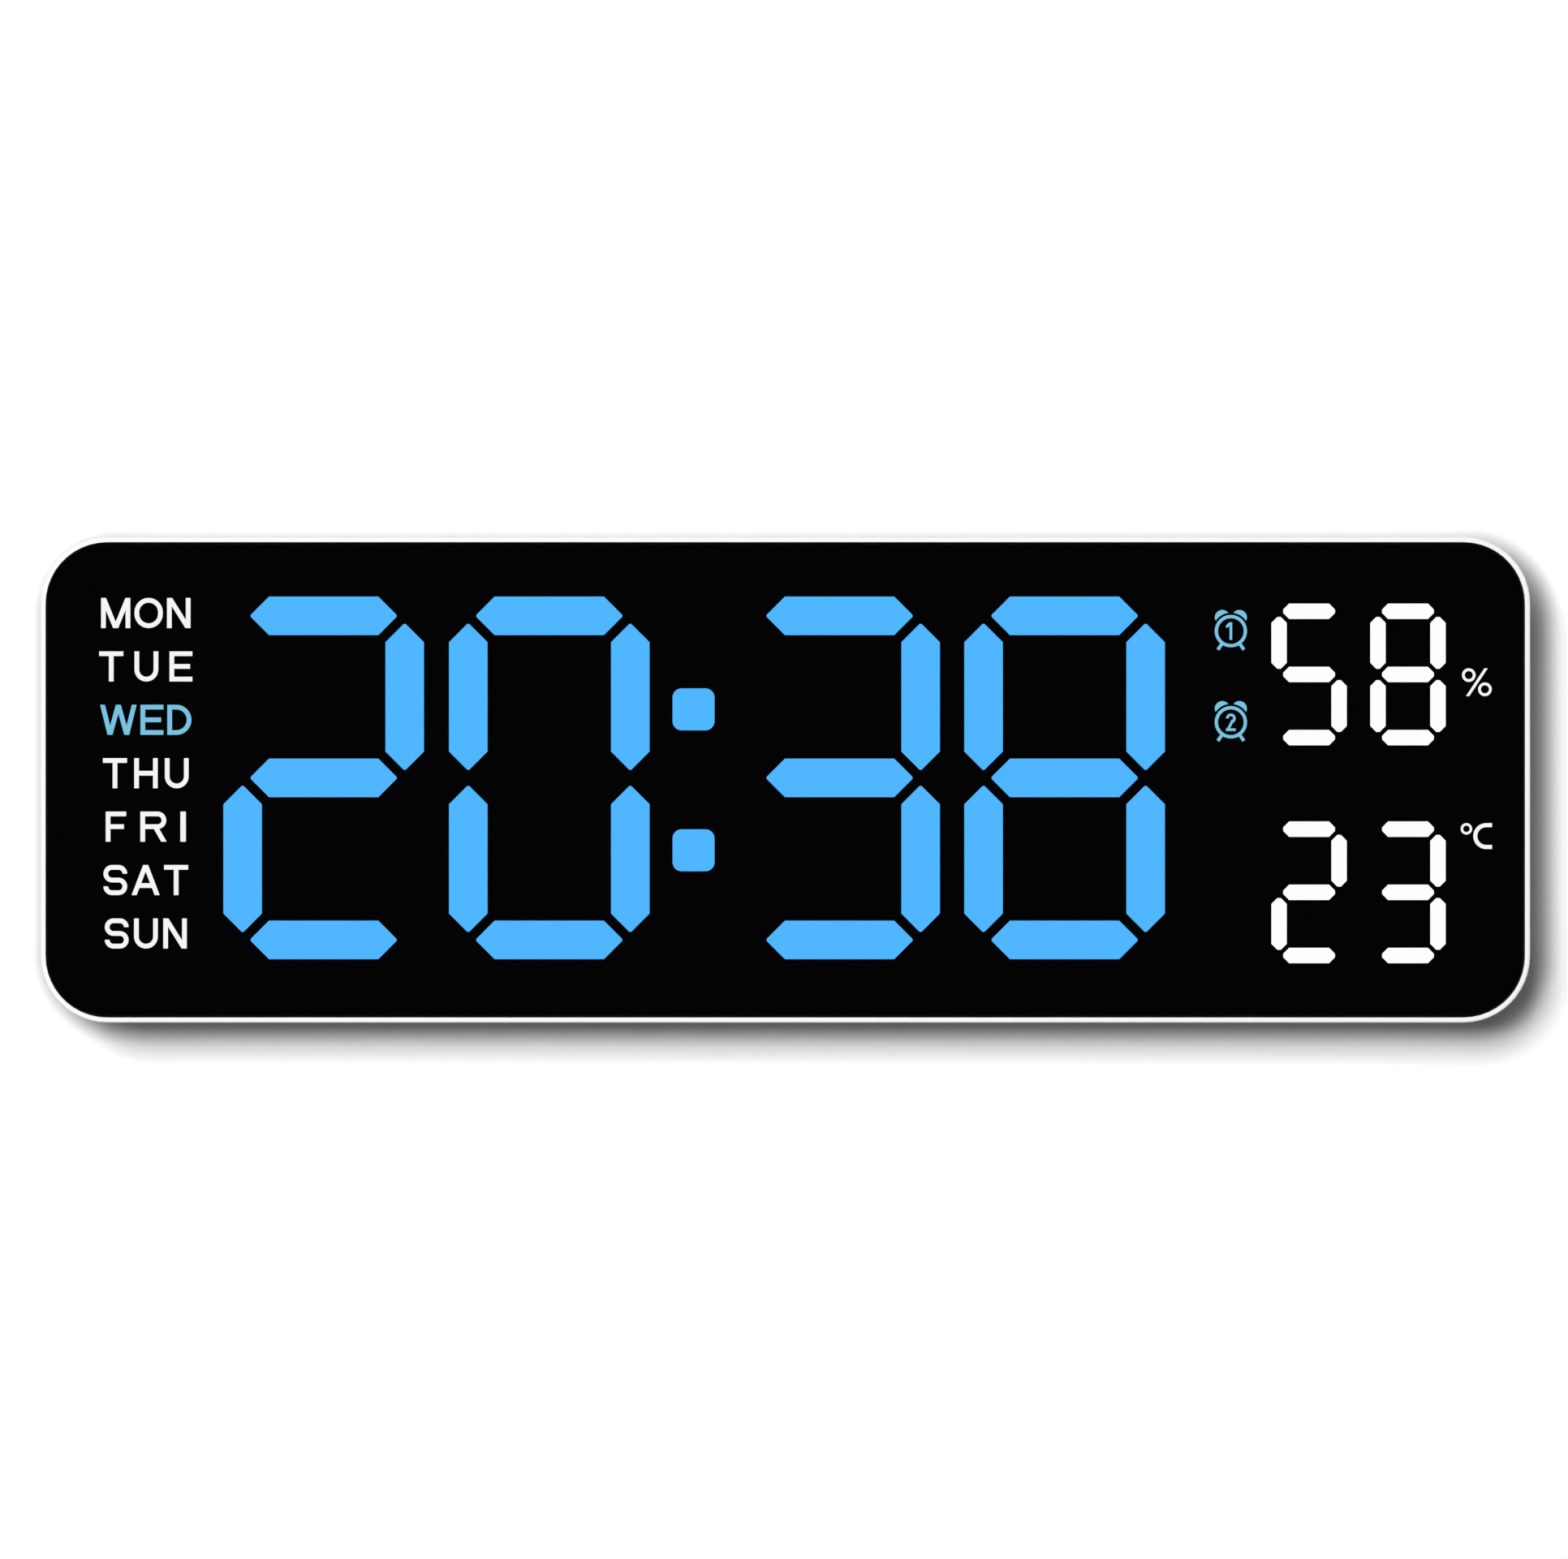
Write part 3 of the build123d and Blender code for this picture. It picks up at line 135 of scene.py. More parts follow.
def dim(tree, colour, factor):  # a colour times a number
    return addNode(tree, "VectorMath", {0: colour, "Scale": factor}, operation="SCALE").outputs[0]


def coords(tree, kind="Object"):
    return addNode(tree, "TexCoord").outputs[kind]


def axesOf(tree, vector):
    return addNode(tree, "SeparateXYZ", {0: vector}).outputs


def cloud(tree, where, scale, detail=2.0):
    inputs = {"Vector": where, "Scale": scale, "Detail": detail}
    return addNode(tree, "TexNoise", inputs).outputs[0]


def newGroup(name, inputs, outputs):
    tree = bpy.data.node_groups.new(name, "ShaderNodeTree")
    for label, kind in inputs:
        tree.interface.new_socket(name=label, in_out="INPUT", socket_type="NodeSocket" + kind)
    for label, kind in outputs:
        tree.interface.new_socket(name=label, in_out="OUTPUT", socket_type="NodeSocket" + kind)
    return tree, tree.nodes.new("NodeGroupInput").outputs, tree.nodes.new("NodeGroupOutput").inputs


def useGroup(tree, group, inputs):
    made = tree.nodes.new("ShaderNodeGroup")
    made.node_tree = group
    for name, value in inputs.items():
        feed(tree, made.inputs[name], value)
    return made.outputs


# Moulded skin: cloudy tone, patchy shine and the fine pits of a spark-eroded mould
skinGrain = {"blotchScale": 42.0, "blotchDetail": 3.0, "patchScale": 150.0, "pitDetail": 3.0, "middle": 0.5}


def makeMouldedSkin(grain):
    tree, given, put = newGroup(
        "mouldedSkin",
        (("Tone", "Color"), ("Blotch", "Float"), ("Pits", "Float"), ("Shine", "Float"), ("Patch", "Float")),
        (("Color", "Color"), ("Roughness", "Float"), ("Height", "Float")),
    )
    where = coords(tree)
    blotch = cloud(tree, where, grain["blotchScale"], grain["blotchDetail"])
    drift = calc(tree, "SUBTRACT", blotch, grain["middle"])
    factor = calc(tree, "MULTIPLY_ADD", drift, given["Blotch"], 1.0)
    feed(tree, put["Color"], dim(tree, given["Tone"], factor))
    patch = calc(tree, "SUBTRACT", cloud(tree, where, grain["patchScale"]), grain["middle"])
    feed(tree, put["Roughness"], calc(tree, "MULTIPLY_ADD", patch, given["Patch"], given["Shine"]))
    feed(tree, put["Height"], cloud(tree, where, given["Pits"], grain["pitDetail"]))
    return tree


# Settled dust: a thin warm film on faces that look up, broken by a cloud
dustFilm = {
    "tone": (0.5, 0.48, 0.45, 1), "upward": (0.3, 0.95), "scale": 95.0, "detail": 4.0, "broken": (0.3, 0.7),
}


def makeSettledDust(film):
    tree, given, put = newGroup(
        "settledDust",
        (("Tone", "Color"), ("Roughness", "Float"), ("Amount", "Float")),
        (("Color", "Color"), ("Roughness", "Float")),
    )
    upward = ramp(tree, axesOf(tree, coords(tree, "Normal"))[2], *film["upward"])
    broken = ramp(tree, cloud(tree, coords(tree), film["scale"], film["detail"]), *film["broken"])
    cover = calc(tree, "MULTIPLY", calc(tree, "MULTIPLY", upward, broken), given["Amount"])
    feed(tree, put["Color"], blend(tree, cover, given["Tone"], film["tone"]))
    feed(tree, put["Roughness"], calc(tree, "ADD", given["Roughness"], cover))
    return tree


# Shell joint: a grey line where the two shells meet, at one depth all round the case
jointGrime = {"scale": 260.0, "broken": (0.2, 0.65)}


def makeShellJoint(grime):
    tree, given, put = newGroup(
        "shellJoint",
        (("Tone", "Color"), ("Depth", "Float"), ("Width", "Float"), ("Strength", "Float")),
        (("Color", "Color"),),
    )
    where = coords(tree)
    away = calc(tree, "ABSOLUTE", calc(tree, "SUBTRACT", axesOf(tree, where)[1], given["Depth"]))
    near = calc(tree, "SUBTRACT", 1.0, calc(tree, "DIVIDE", away, given["Width"]))
    near = calc(tree, "MULTIPLY", calc(tree, "MAXIMUM", near, 0.0), given["Strength"])
    dark = calc(tree, "MULTIPLY", near, ramp(tree, cloud(tree, where, grime["scale"]), *grime["broken"]))
    feed(tree, put["Color"], dim(tree, given["Tone"], calc(tree, "SUBTRACT", 1.0, dark)))
    return tree


# Outline band: how far a place lies outside a rounded outline in X and Z, as a mask that falls
# from 1 at one distance to 0 at another; a distance inside the outline counts as negative
def makeOutlineBand():
    tree, given, put = newGroup(
        "outlineBand",
        (("Middle X", "Float"), ("Middle Z", "Float"), ("Half X", "Float"), ("Half Z", "Float"),
         ("Corner", "Float"), ("Full", "Float"), ("Gone", "Float")),
        (("Mask", "Float"),),
    )
    axes = axesOf(tree, coords(tree))
    squares = []
    for axis, name in ((axes[0], "X"), (axes[2], "Z")):
        straight = calc(tree, "SUBTRACT", given["Half " + name], given["Corner"])
        away = calc(tree, "ABSOLUTE", calc(tree, "SUBTRACT", axis, given["Middle " + name]))
        beyond = calc(tree, "MAXIMUM", calc(tree, "SUBTRACT", away, straight), 0.0)
        squares.append(calc(tree, "MULTIPLY", beyond, beyond))
    radius = calc(tree, "SQRT", calc(tree, "ADD", *squares))
    outside = calc(tree, "SUBTRACT", radius, given["Corner"])
    feed(tree, put["Mask"], calc(tree, "SUBTRACT", 1.0, ramp(tree, outside, given["Full"], given["Gone"])))
    return tree


# Lit block: even light with a faint cloud in the diffuser
def makeLitBlock(detail):
    tree, given, put = newGroup(
        "litBlock",
        (("Light", "Color"), ("Cloud", "Float"), ("Scale", "Float")),
        (("Color", "Color"),),
    )
    drift = calc(tree, "MULTIPLY", cloud(tree, coords(tree), given["Scale"], detail), given["Cloud"])
    feed(tree, put["Color"], dim(tree, given["Light"], calc(tree, "SUBTRACT", 1.0, drift)))
    return tree


# Drawn metal: streaks along X in tone, shine and height
metalGrain = {
    "stretch": (0.08, 1, 1), "streakDetail": 3.0, "streakTone": 0.16, "darkest": 0.92,
    "stainScale": 380.0, "stained": (0.35, 0.75), "stainRough": 0.12,
}


def makeDrawnMetal(grain):
    tree, given, put = newGroup(
        "drawnMetal",
        (("Tone", "Color"), ("Shine", "Float"), ("Streaks", "Float")),
        (("Color", "Color"), ("Roughness", "Float"), ("Height", "Float")),
    )
    where = coords(tree)
    stretched = addNode(tree, "Mapping", {"Vector": where, "Scale": grain["stretch"]}).outputs[0]
    streak = cloud(tree, stretched, given["Streaks"], grain["streakDetail"])
    factor = calc(tree, "MULTIPLY_ADD", streak, grain["streakTone"], grain["darkest"])
    feed(tree, put["Color"], dim(tree, given["Tone"], factor))
    stain = ramp(tree, cloud(tree, where, grain["stainScale"]), *grain["stained"])
    stainRough = calc(tree, "MULTIPLY", stain, grain["stainRough"])
    feed(tree, put["Roughness"], calc(tree, "ADD", given["Shine"], stainRough))
    feed(tree, put["Height"], streak)
    return tree


mouldedSkin = makeMouldedSkin(skinGrain)
settledDust = makeSettledDust(dustFilm)
shellJoint = makeShellJoint(jointGrime)
outlineBand = makeOutlineBand()
litBlock = makeLitBlock(detail=1.0)
drawnMetal = makeDrawnMetal(metalGrain)
print("finishes: node groups ready")


def newMaterial(name, values=None):
    made = bpy.data.materials.new(name)
    made.use_nodes = True
    shader = made.node_tree.nodes["Principled BSDF"]
    for label, value in (values or {}).items():
        shader.inputs[label].default_value = value
    return made, made.node_tree, shader


def addBump(tree, shader, height, strength, distance):
    bump = addNode(tree, "Bump", {"Height": height, "Strength": strength, "Distance": distance})
    feed(tree, shader.inputs["Normal"], bump.outputs[0])


def paintOver(tree, shader, mask, paint):  # a second colour over what the base colour already has
    plain = shader.inputs["Base Color"].links[0].from_socket
    feed(tree, shader.inputs["Base Color"], blend(tree, mask, plain, paint))


caseShape = {
    "halfX": (cadBox[1].x - cadBox[0].x) / 2,
    "halfZ": (cadBox[1].z - cadBox[0].z) / 2,
    "corner": 10.3 * mm,
    "joint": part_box("front_housing")[1].y,
    "jointWidth": 0.35 * mm,
    "rubReach": 1.6 * mm,
}


# Moulded plastic from a table of values; outer shells also get the joint line and rubbed edges
def mouldedPlastic(name, look):
    made, tree, shader = newMaterial(name, {"Specular IOR Level": look.get("specular", 0.5)})
    skin = useGroup(tree, mouldedSkin, {
        "Tone": (*look["tone"], 1), "Blotch": look["blotch"], "Pits": look["pits"],
        "Shine": look["shine"], "Patch": look["patch"],
    })
    colour, rough = skin["Color"], skin["Roughness"]
    if "joint" in look:
        colour = useGroup(tree, shellJoint, {
            "Tone": colour, "Depth": caseShape["joint"], "Width": caseShape["jointWidth"],
            "Strength": look["joint"],
        })["Color"]
        kept = useGroup(tree, outlineBand, {
            "Half X": caseShape["halfX"], "Half Z": caseShape["halfZ"], "Corner": caseShape["corner"],
            "Full": -caseShape["rubReach"], "Gone": 0.0,
        })["Mask"]
        rub = calc(tree, "SUBTRACT", 1.0, kept)
        rough = calc(tree, "SUBTRACT", rough, calc(tree, "MULTIPLY", rub, look["rub"]))
    if "dust" in look:
        film = useGroup(tree, settledDust, {"Tone": colour, "Roughness": rough, "Amount": look["dust"]})
        colour, rough = film["Color"], film["Roughness"]
    feed(tree, shader.inputs["Base Color"], colour)
    feed(tree, shader.inputs["Roughness"], rough)
    addBump(tree, shader, skin["Height"], look["bump"], look["pitDepth"])
    return made, tree, shader


plasticLooks = {
    "white_shell": {
        "tone": (0.9, 0.9, 0.9), "blotch": 0.02, "pits": 3200.0, "shine": 0.42, "patch": 0.06,
        "bump": 0.1, "pitDepth": 0.03 * mm, "joint": 0.4, "rub": 0.07, "dust": 0.03,
    },
    "rear_shell": {
        "tone": (0.85, 0.85, 0.84), "blotch": 0.03, "pits": 2600.0, "shine": 0.5, "patch": 0.1,
        "bump": 0.35, "pitDepth": 0.05 * mm, "joint": 0.4, "rub": 0.12, "dust": 0.06,
    },
    "door_shell": {
        "tone": (0.83, 0.83, 0.82), "blotch": 0.03, "pits": 2600.0, "shine": 0.46, "patch": 0.1,
        "bump": 0.3, "pitDepth": 0.05 * mm, "dust": 0.05,
    },
    "black_mask": {
        "tone": (0.0015, 0.0015, 0.0017), "blotch": 0.3, "pits": 2200.0, "shine": 0.6, "patch": 0.15,
        "bump": 0.02, "pitDepth": 0.02 * mm, "specular": 0.03,
    },
    "reflector_white": {
        "tone": (0.84, 0.84, 0.82), "blotch": 0.03, "pits": 1800.0, "shine": 0.55, "patch": 0.1,
        "bump": 0.15, "pitDepth": 0.03 * mm,
    },
    "dark_segment": {
        "tone": (0.0025, 0.0025, 0.003), "blotch": 0.3, "pits": 1500.0, "shine": 0.55, "patch": 0.1,
        "bump": 0.05, "pitDepth": 0.02 * mm, "specular": 0.03,
    },
    "lamp_white": {
        "tone": (0.86, 0.82, 0.62), "blotch": 0.12, "pits": 3000.0, "shine": 0.38, "patch": 0.1,
        "bump": 0.05, "pitDepth": 0.02 * mm,
    },
    "sensor_grey": {
        "tone": (0.72, 0.72, 0.73), "blotch": 0.06, "pits": 4200.0, "shine": 0.45, "patch": 0.1,
        "bump": 0.15, "pitDepth": 0.02 * mm,
    },
    "red_lead": {
        "tone": (0.5, 0.03, 0.02), "blotch": 0.15, "pits": 2600.0, "shine": 0.5, "patch": 0.15,
        "bump": 0.2, "pitDepth": 0.03 * mm,
    },
    "black_lead": {
        "tone": (0.015, 0.015, 0.015), "blotch": 0.2, "pits": 2600.0, "shine": 0.5, "patch": 0.15,
        "bump": 0.2, "pitDepth": 0.03 * mm,
    },
    "plunger_white": {
        "tone": (0.84, 0.83, 0.8), "blotch": 0.04, "pits": 3600.0, "shine": 0.4, "patch": 0.08,
        "bump": 0.1, "pitDepth": 0.02 * mm,
    },
}
finishes = {slot: mouldedPlastic(slot, look)[0] for slot, look in plasticLooks.items()}


# Button caps: grey plastic, with paint in the sunk sign on each face
buttonLook = {
    "tone": (0.4, 0.41, 0.43), "blotch": 0.04, "pits": 3400.0, "shine": 0.42, "patch": 0.1,
    "bump": 0.2, "pitDepth": 0.03 * mm, "dust": 0.06,
    "paint": (0.9, 0.9, 0.89, 1), "signFrom": -0.6 * mm, "signTo": -0.4 * mm, "signFacing": 0.9,
}


def makeButtonGrey(look):
    made, tree, shader = mouldedPlastic("button_grey", look)
    depth = axesOf(tree, coords(tree))[1]
    facing = axesOf(tree, coords(tree, "Normal"))[1]
    sunk = calc(tree, "MULTIPLY", calc(tree, "GREATER_THAN", depth, look["signFrom"]),
                calc(tree, "LESS_THAN", depth, look["signTo"]))
    sunk = calc(tree, "MULTIPLY", sunk, calc(tree, "GREATER_THAN", facing, look["signFacing"]))
    paintOver(tree, shader, sunk, look["paint"])
    return made


finishes["button_grey"] = makeButtonGrey(buttonLook)


# Smoked lens: dark clear acrylic, a plain alpha for each of its two faces, faint wipe marks in its polish
lensLook = {
    "tone": (0.0012, 0.0012, 0.0015, 1), "alpha": 0.28, "index": 1.49, "shine": 0.035, "wipe": 0.05,
    "wipeTurn": (0, 0.5, 0), "wipeStretch": (0.25, 1, 1), "wipeScale": 130.0, "wipeDetail": 5.0,
    "wiped": (0.45, 0.8),
}
lensPasses = (1 - lensLook["alpha"]) ** 2


def makeSmokedLens(look):
    made, tree, shader = newMaterial("smoked_lens", {
        "Base Color": look["tone"], "Alpha": look["alpha"], "IOR": look["index"],
    })
    swept = addNode(tree, "Mapping", {
        "Vector": coords(tree), "Rotation": look["wipeTurn"], "Scale": look["wipeStretch"],
    }).outputs[0]
    marks = ramp(tree, cloud(tree, swept, look["wipeScale"], look["wipeDetail"]), *look["wiped"])
    feed(tree, shader.inputs["Roughness"], calc(tree, "MULTIPLY_ADD", marks, look["wipe"], look["shine"]))
    return made


finishes["smoked_lens"] = makeSmokedLens(lensLook)


# Light blocks: their strength makes up for what the lens takes
lightLooks = {
    "blue_light": {"light": (0.0782, 0.4678, 1.0), "cloud": 0.03, "scale": 160.0},
    "white_light": {"light": (0.98, 0.98, 0.985), "cloud": 0.03, "scale": 260.0},
    "pale_blue_light": {"light": (0.19, 0.54, 0.75), "cloud": 0.06, "scale": 500.0},
    "legendLight": {"light": (0.92, 0.92, 0.925), "cloud": 0.06, "scale": 500.0},
}
blockSkin = {"tone": 0.05, "shine": 0.5, "specular": 0.2}  # the block itself, apart from its light


def makeLight(name, look):
    made, tree, shader = newMaterial(name, {
        "Base Color": (*[blockSkin["tone"] * part for part in look["light"]], 1),
        "Roughness": blockSkin["shine"], "Specular IOR Level": blockSkin["specular"],
        "Emission Strength": 1 / lensPasses,
    })
    lit = useGroup(tree, litBlock, {
        "Light": (*look["light"], 1), "Cloud": look["cloud"], "Scale": look["scale"],
    })
    feed(tree, shader.inputs["Emission Color"], lit["Color"])
    return made


for slot, look in lightLooks.items():
    finishes[slot] = makeLight(slot, look)


# Circuit board: green mask over square-cornered copper tracks
boardLook = {
    "mask": (0.012, 0.095, 0.04, 1), "track": (0.03, 0.2, 0.075, 1), "cells": 190.0, "fine": 520.0,
    "scatter": 0.85, "lines": 3.0, "edge": (0.42, 0.5), "fineShare": 0.4,
    "shine": 0.3, "patch": 0.15, "patchScale": 300.0, "bump": 0.4, "copperHeight": 0.03 * mm,
}


def makeCircuitBoard(look):
    made, tree, shader = newMaterial("circuit_board")
    where = coords(tree)
    tracks = []
    for scale in (look["cells"], look["fine"]):
        inputs = {"Vector": where, "Scale": scale, "Randomness": look["scatter"]}
        away = addNode(tree, "TexVoronoi", inputs, distance="CHEBYCHEV", feature="F1").outputs[0]
        step = calc(tree, "FRACT", calc(tree, "MULTIPLY", away, look["lines"]))
        tracks.append(ramp(tree, step, *look["edge"]))
    copper = calc(tree, "MAXIMUM", tracks[0], calc(tree, "MULTIPLY", tracks[1], look["fineShare"]))
    feed(tree, shader.inputs["Base Color"], blend(tree, copper, look["mask"], look["track"]))
    patch = cloud(tree, where, look["patchScale"])
    feed(tree, shader.inputs["Roughness"], calc(tree, "MULTIPLY_ADD", patch, look["patch"], look["shine"]))
    addBump(tree, shader, copper, look["bump"], look["copperHeight"])
    return made


finishes["circuit_board"] = makeCircuitBoard(boardLook)


# Nickel plate: pale metal with drawing streaks and faint stains
nickelLook = {
    "tone": (0.72, 0.71, 0.69, 1), "shine": 0.13, "streaks": 3000.0, "bump": 0.15, "streakDepth": 0.02 * mm,
}


def makeNickel(name, look):
    made, tree, shader = newMaterial(name, {"Metallic": 1.0})
    skin = useGroup(tree, drawnMetal, {
        "Tone": look["tone"], "Shine": look["shine"], "Streaks": look["streaks"],
    })
    feed(tree, shader.inputs["Base Color"], skin["Color"])
    feed(tree, shader.inputs["Roughness"], skin["Roughness"])
    addBump(tree, shader, skin["Height"], look["bump"], look["streakDepth"])
    return made


finishes["bright_metal"] = makeNickel("bright_metal", nickelLook)


# Black mouldings with metal outside a stated box: chips with their leads
chipLook = {
    "tone": (0.022, 0.022, 0.024), "blotch": 0.2, "pits": 4200.0, "shine": 0.5, "patch": 0.1,
    "bump": 0.25, "pitDepth": 0.03 * mm, "lead": (0.7, 0.69, 0.67, 1), "leadLength": 1.0 * mm,
}
finishes["black_plastic"] = mouldedPlastic("black_plastic", chipLook)[0]


def makeChip(name, look, allRound):
    made, tree, shader = mouldedPlastic(name, look)
    low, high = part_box(name)
    axes = axesOf(tree, coords(tree))
    outside = []
    for number in ((0, 2) if allRound else (2,)):
        middle = (low[number] + high[number]) / 2
        half = (high[number] - low[number]) / 2 - look["leadLength"]
        away = calc(tree, "ABSOLUTE", calc(tree, "SUBTRACT", axes[number], middle))
        outside.append(calc(tree, "GREATER_THAN", away, half))
    lead = calc(tree, "MAXIMUM", outside[0], outside[-1])
    paintOver(tree, shader, lead, look["lead"])
    feed(tree, shader.inputs["Metallic"], lead)
    return made


# Cells: a plain wrapped jacket with a band at one end, bare metal at both tips
cellLook = {
    "wrap": (0.02, 0.045, 0.11, 1), "band": (0.62, 0.47, 0.2, 1), "tip": (0.7, 0.69, 0.67, 1),
    "bandFrom": -12.5 * mm, "tipReach": 20.6 * mm, "turnedWithin": 5.6 * mm, "bandMetal": 0.8,
    "scuffScale": 420.0, "scuffDetail": 4.0, "scuffed": (0.62, 0.72), "scuffShare": 0.25,
    "shine": 0.32, "scuffRough": 0.15,
}


def makeCellJacket(look):
    made, tree, shader = newMaterial("cell_jacket")
    low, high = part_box("battery_cells")
    where = coords(tree)
    axes = axesOf(tree, where)
    aside = calc(tree, "ABSOLUTE", calc(tree, "SUBTRACT", axes[2], (low.z + high.z) / 2))
    outer = calc(tree, "GREATER_THAN", aside, look["turnedWithin"])
    hand = calc(tree, "MULTIPLY_ADD", outer, 2.0, -1.0)  # the middle cell lies the other way round
    along = calc(tree, "MULTIPLY", calc(tree, "SUBTRACT", axes[0], (low.x + high.x) / 2), hand)
    banded = calc(tree, "LESS_THAN", along, look["bandFrom"])
    bare = calc(tree, "GREATER_THAN", calc(tree, "ABSOLUTE", along), look["tipReach"])
    colour = blend(tree, banded, look["wrap"], look["band"])
    colour = blend(tree, bare, colour, look["tip"])
    scuffs = ramp(tree, cloud(tree, where, look["scuffScale"], look["scuffDetail"]), *look["scuffed"])
    worn = calc(tree, "MULTIPLY", scuffs, look["scuffShare"])
    feed(tree, shader.inputs["Base Color"], blend(tree, worn, colour, look["tip"]))
    bandMetal = calc(tree, "MULTIPLY", banded, look["bandMetal"])
    feed(tree, shader.inputs["Metallic"], calc(tree, "MAXIMUM", bare, bandMetal))
    rough = calc(tree, "MULTIPLY_ADD", scuffs, look["scuffRough"], look["shine"])
    feed(tree, shader.inputs["Roughness"], rough)
    return made


finishes["cell_jacket"] = makeCellJacket(cellLook)


# Socket tongue: black insulator with gilt contact strips across it
tongueLook = {**chipLook, "gilt": (0.83, 0.6, 0.25, 1), "pitch": 0.85 * mm, "share": 0.55, "bare": 1.4 * mm}


def makeSocketTongue(look):
    made, tree, shader = mouldedPlastic("socketTongue", look)
    low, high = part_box("power_socket_tongue")
    axes = axesOf(tree, coords(tree))
    step = calc(tree, "FRACT", calc(tree, "DIVIDE", calc(tree, "SUBTRACT", axes[2], low.z), look["pitch"]))
    strip = calc(tree, "LESS_THAN", step, look["share"])
    strip = calc(tree, "MULTIPLY", strip, calc(tree, "LESS_THAN", axes[0], high.x - look["bare"]))
    paintOver(tree, shader, strip, look["gilt"])
    feed(tree, shader.inputs["Metallic"], strip)
    return made


ownFinish = {
    "weekday_letters": finishes["legendLight"],
    "unit_signs": finishes["legendLight"],
    "control_chip": makeChip("control_chip", chipLook, True),
    "driver_chips": makeChip("driver_chips", chipLook, False),
    "power_socket_tongue": makeSocketTongue(tongueLook),
}
for name, piece in nodes.items():
    for row in piece.material_slots:
        row.material = ownFinish.get(name) or finishes[slotOf[name]]
materialsUsed = {*finishes.values(), *ownFinish.values()}
print("finishes:", len(materialsUsed), "materials on", len(nodes), "pieces")


# New pieces: plates whose rounded outline follows one path and whose edge follows a section.
# Each corner is an arc about a fixed centre, so a ring drawn in by an inset keeps the centres
# and shortens the radius; a point is centre + (radius - inset) * direction.

def cornerArcs(corners, radius, steps):
    corners = np.asarray(corners, float)
    along = np.roll(corners, -1, axis=0) - corners
    along /= np.linalg.norm(along, axis=1)[:, None]
    outward = np.stack([along[:, 1], -along[:, 0]], axis=1)
    before = np.roll(outward, 1, axis=0)
    centres = corners - radius * (before + outward) / (1 + (before * outward).sum(1))[:, None]
    start = np.arctan2(before[:, 1], before[:, 0])
    turn = np.mod(np.arctan2(outward[:, 1], outward[:, 0]) - start, 2 * np.pi)
    angles = start[:, None] + turn[:, None] * np.linspace(0, 1, steps)
    directions = np.stack([np.cos(angles), np.sin(angles)], axis=2).reshape(-1, 2)
    return np.repeat(centres, steps, axis=0), directions


sharpFrom = math.radians(35)


# Rings run from the front of the section to its back, counter-clockwise seen from the front.
# A plate is capped at both ends; a frame's section is a loop that closes on itself.
def platePiece(name, corners, radius, steps, section, finish, frameLoop=False):
    centres, directions = cornerArcs(corners, radius, steps)
    insets, depths = np.asarray(section, float).T
    flat = centres[None] + (radius - insets)[:, None, None] * directions[None]
    rings, around = flat.shape[:2]
    depth = np.broadcast_to(depths[:, None], (rings, around))
    points = np.stack([flat[..., 0], depth, flat[..., 1]], axis=2)
    ring = np.arange(rings if frameLoop else rings - 1)[:, None] * around
    after = (ring + around) % (rings * around)
    here = np.arange(around)[None]
    ahead = np.roll(here, -1, axis=1)
    quads = np.stack([ring + here, after + here, after + ahead, ring + ahead], axis=2)
    faces = quads.reshape(-1, 4).tolist()
    if not frameLoop:
        last = (rings - 1) * around
        faces += [list(range(around)), list(range(last + around - 1, last - 1, -1))]
    mesh = bpy.data.meshes.new(name)
    mesh.from_pydata(points.reshape(-1, 3).tolist(), [], faces)
    mesh.shade_smooth()
    mesh.set_sharp_from_angle(angle=sharpFrom)
    mesh.materials.append(finish)
    return addObject(name, mesh)


def boxCorners(low, high):
    return [(low.x, low.z), (high.x, low.z), (high.x, high.z), (low.x, high.z)]


# A quarter round from the face into the side, then straight to the other face
def easedSection(front, back, ease, steps):
    angles = np.linspace(0, np.pi / 2, steps)
    rounded = np.stack([ease * (1 - np.sin(angles)), front + ease * (1 - np.cos(angles))], axis=1)
    return np.concatenate([rounded, [[0.0, back]]])


# Lens: the polished plate in the rim, a hair clear of the blocks behind it, and the black print
# on its edge and round its back, which hides the glue and the gap round the mask
lensPlate = {
    "corner": 9.4 * mm, "ease": 0.3 * mm, "air": 0.08 * mm, "cornerSteps": 33, "edgeSteps": 7,
    "borderTo": 3.0 * mm, "borderBack": 0.03 * mm, "borderFront": 0.06 * mm,
    "edgeFrom": 0.35 * mm, "edgeInner": -0.02 * mm, "edgeOuter": -0.05 * mm,
}


def makeLens(shape):
    low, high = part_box("front_lens")
    section = easedSection(low.y, high.y - shape["air"], shape["ease"], shape["edgeSteps"])
    lens = platePiece("lensPlate", boxCorners(low, high), shape["corner"], shape["cornerSteps"], section,
                      finishes["smoked_lens"])
    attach(lens, "case")
    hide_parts("front_lens")
    front, back, edge = high.y - shape["borderFront"], high.y - shape["borderBack"], low.y + shape["edgeFrom"]
    loop = [(shape["edgeOuter"], edge), (shape["edgeOuter"], back), (shape["borderTo"], back),
            (shape["borderTo"], front), (shape["edgeInner"], front), (shape["edgeInner"], edge)]
    border = platePiece("lensBorder", boxCorners(low, high), shape["corner"], shape["cornerSteps"], loop,
                        finishes["black_mask"], frameLoop=True)
    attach(border, "case")


makeLens(lensPlate)


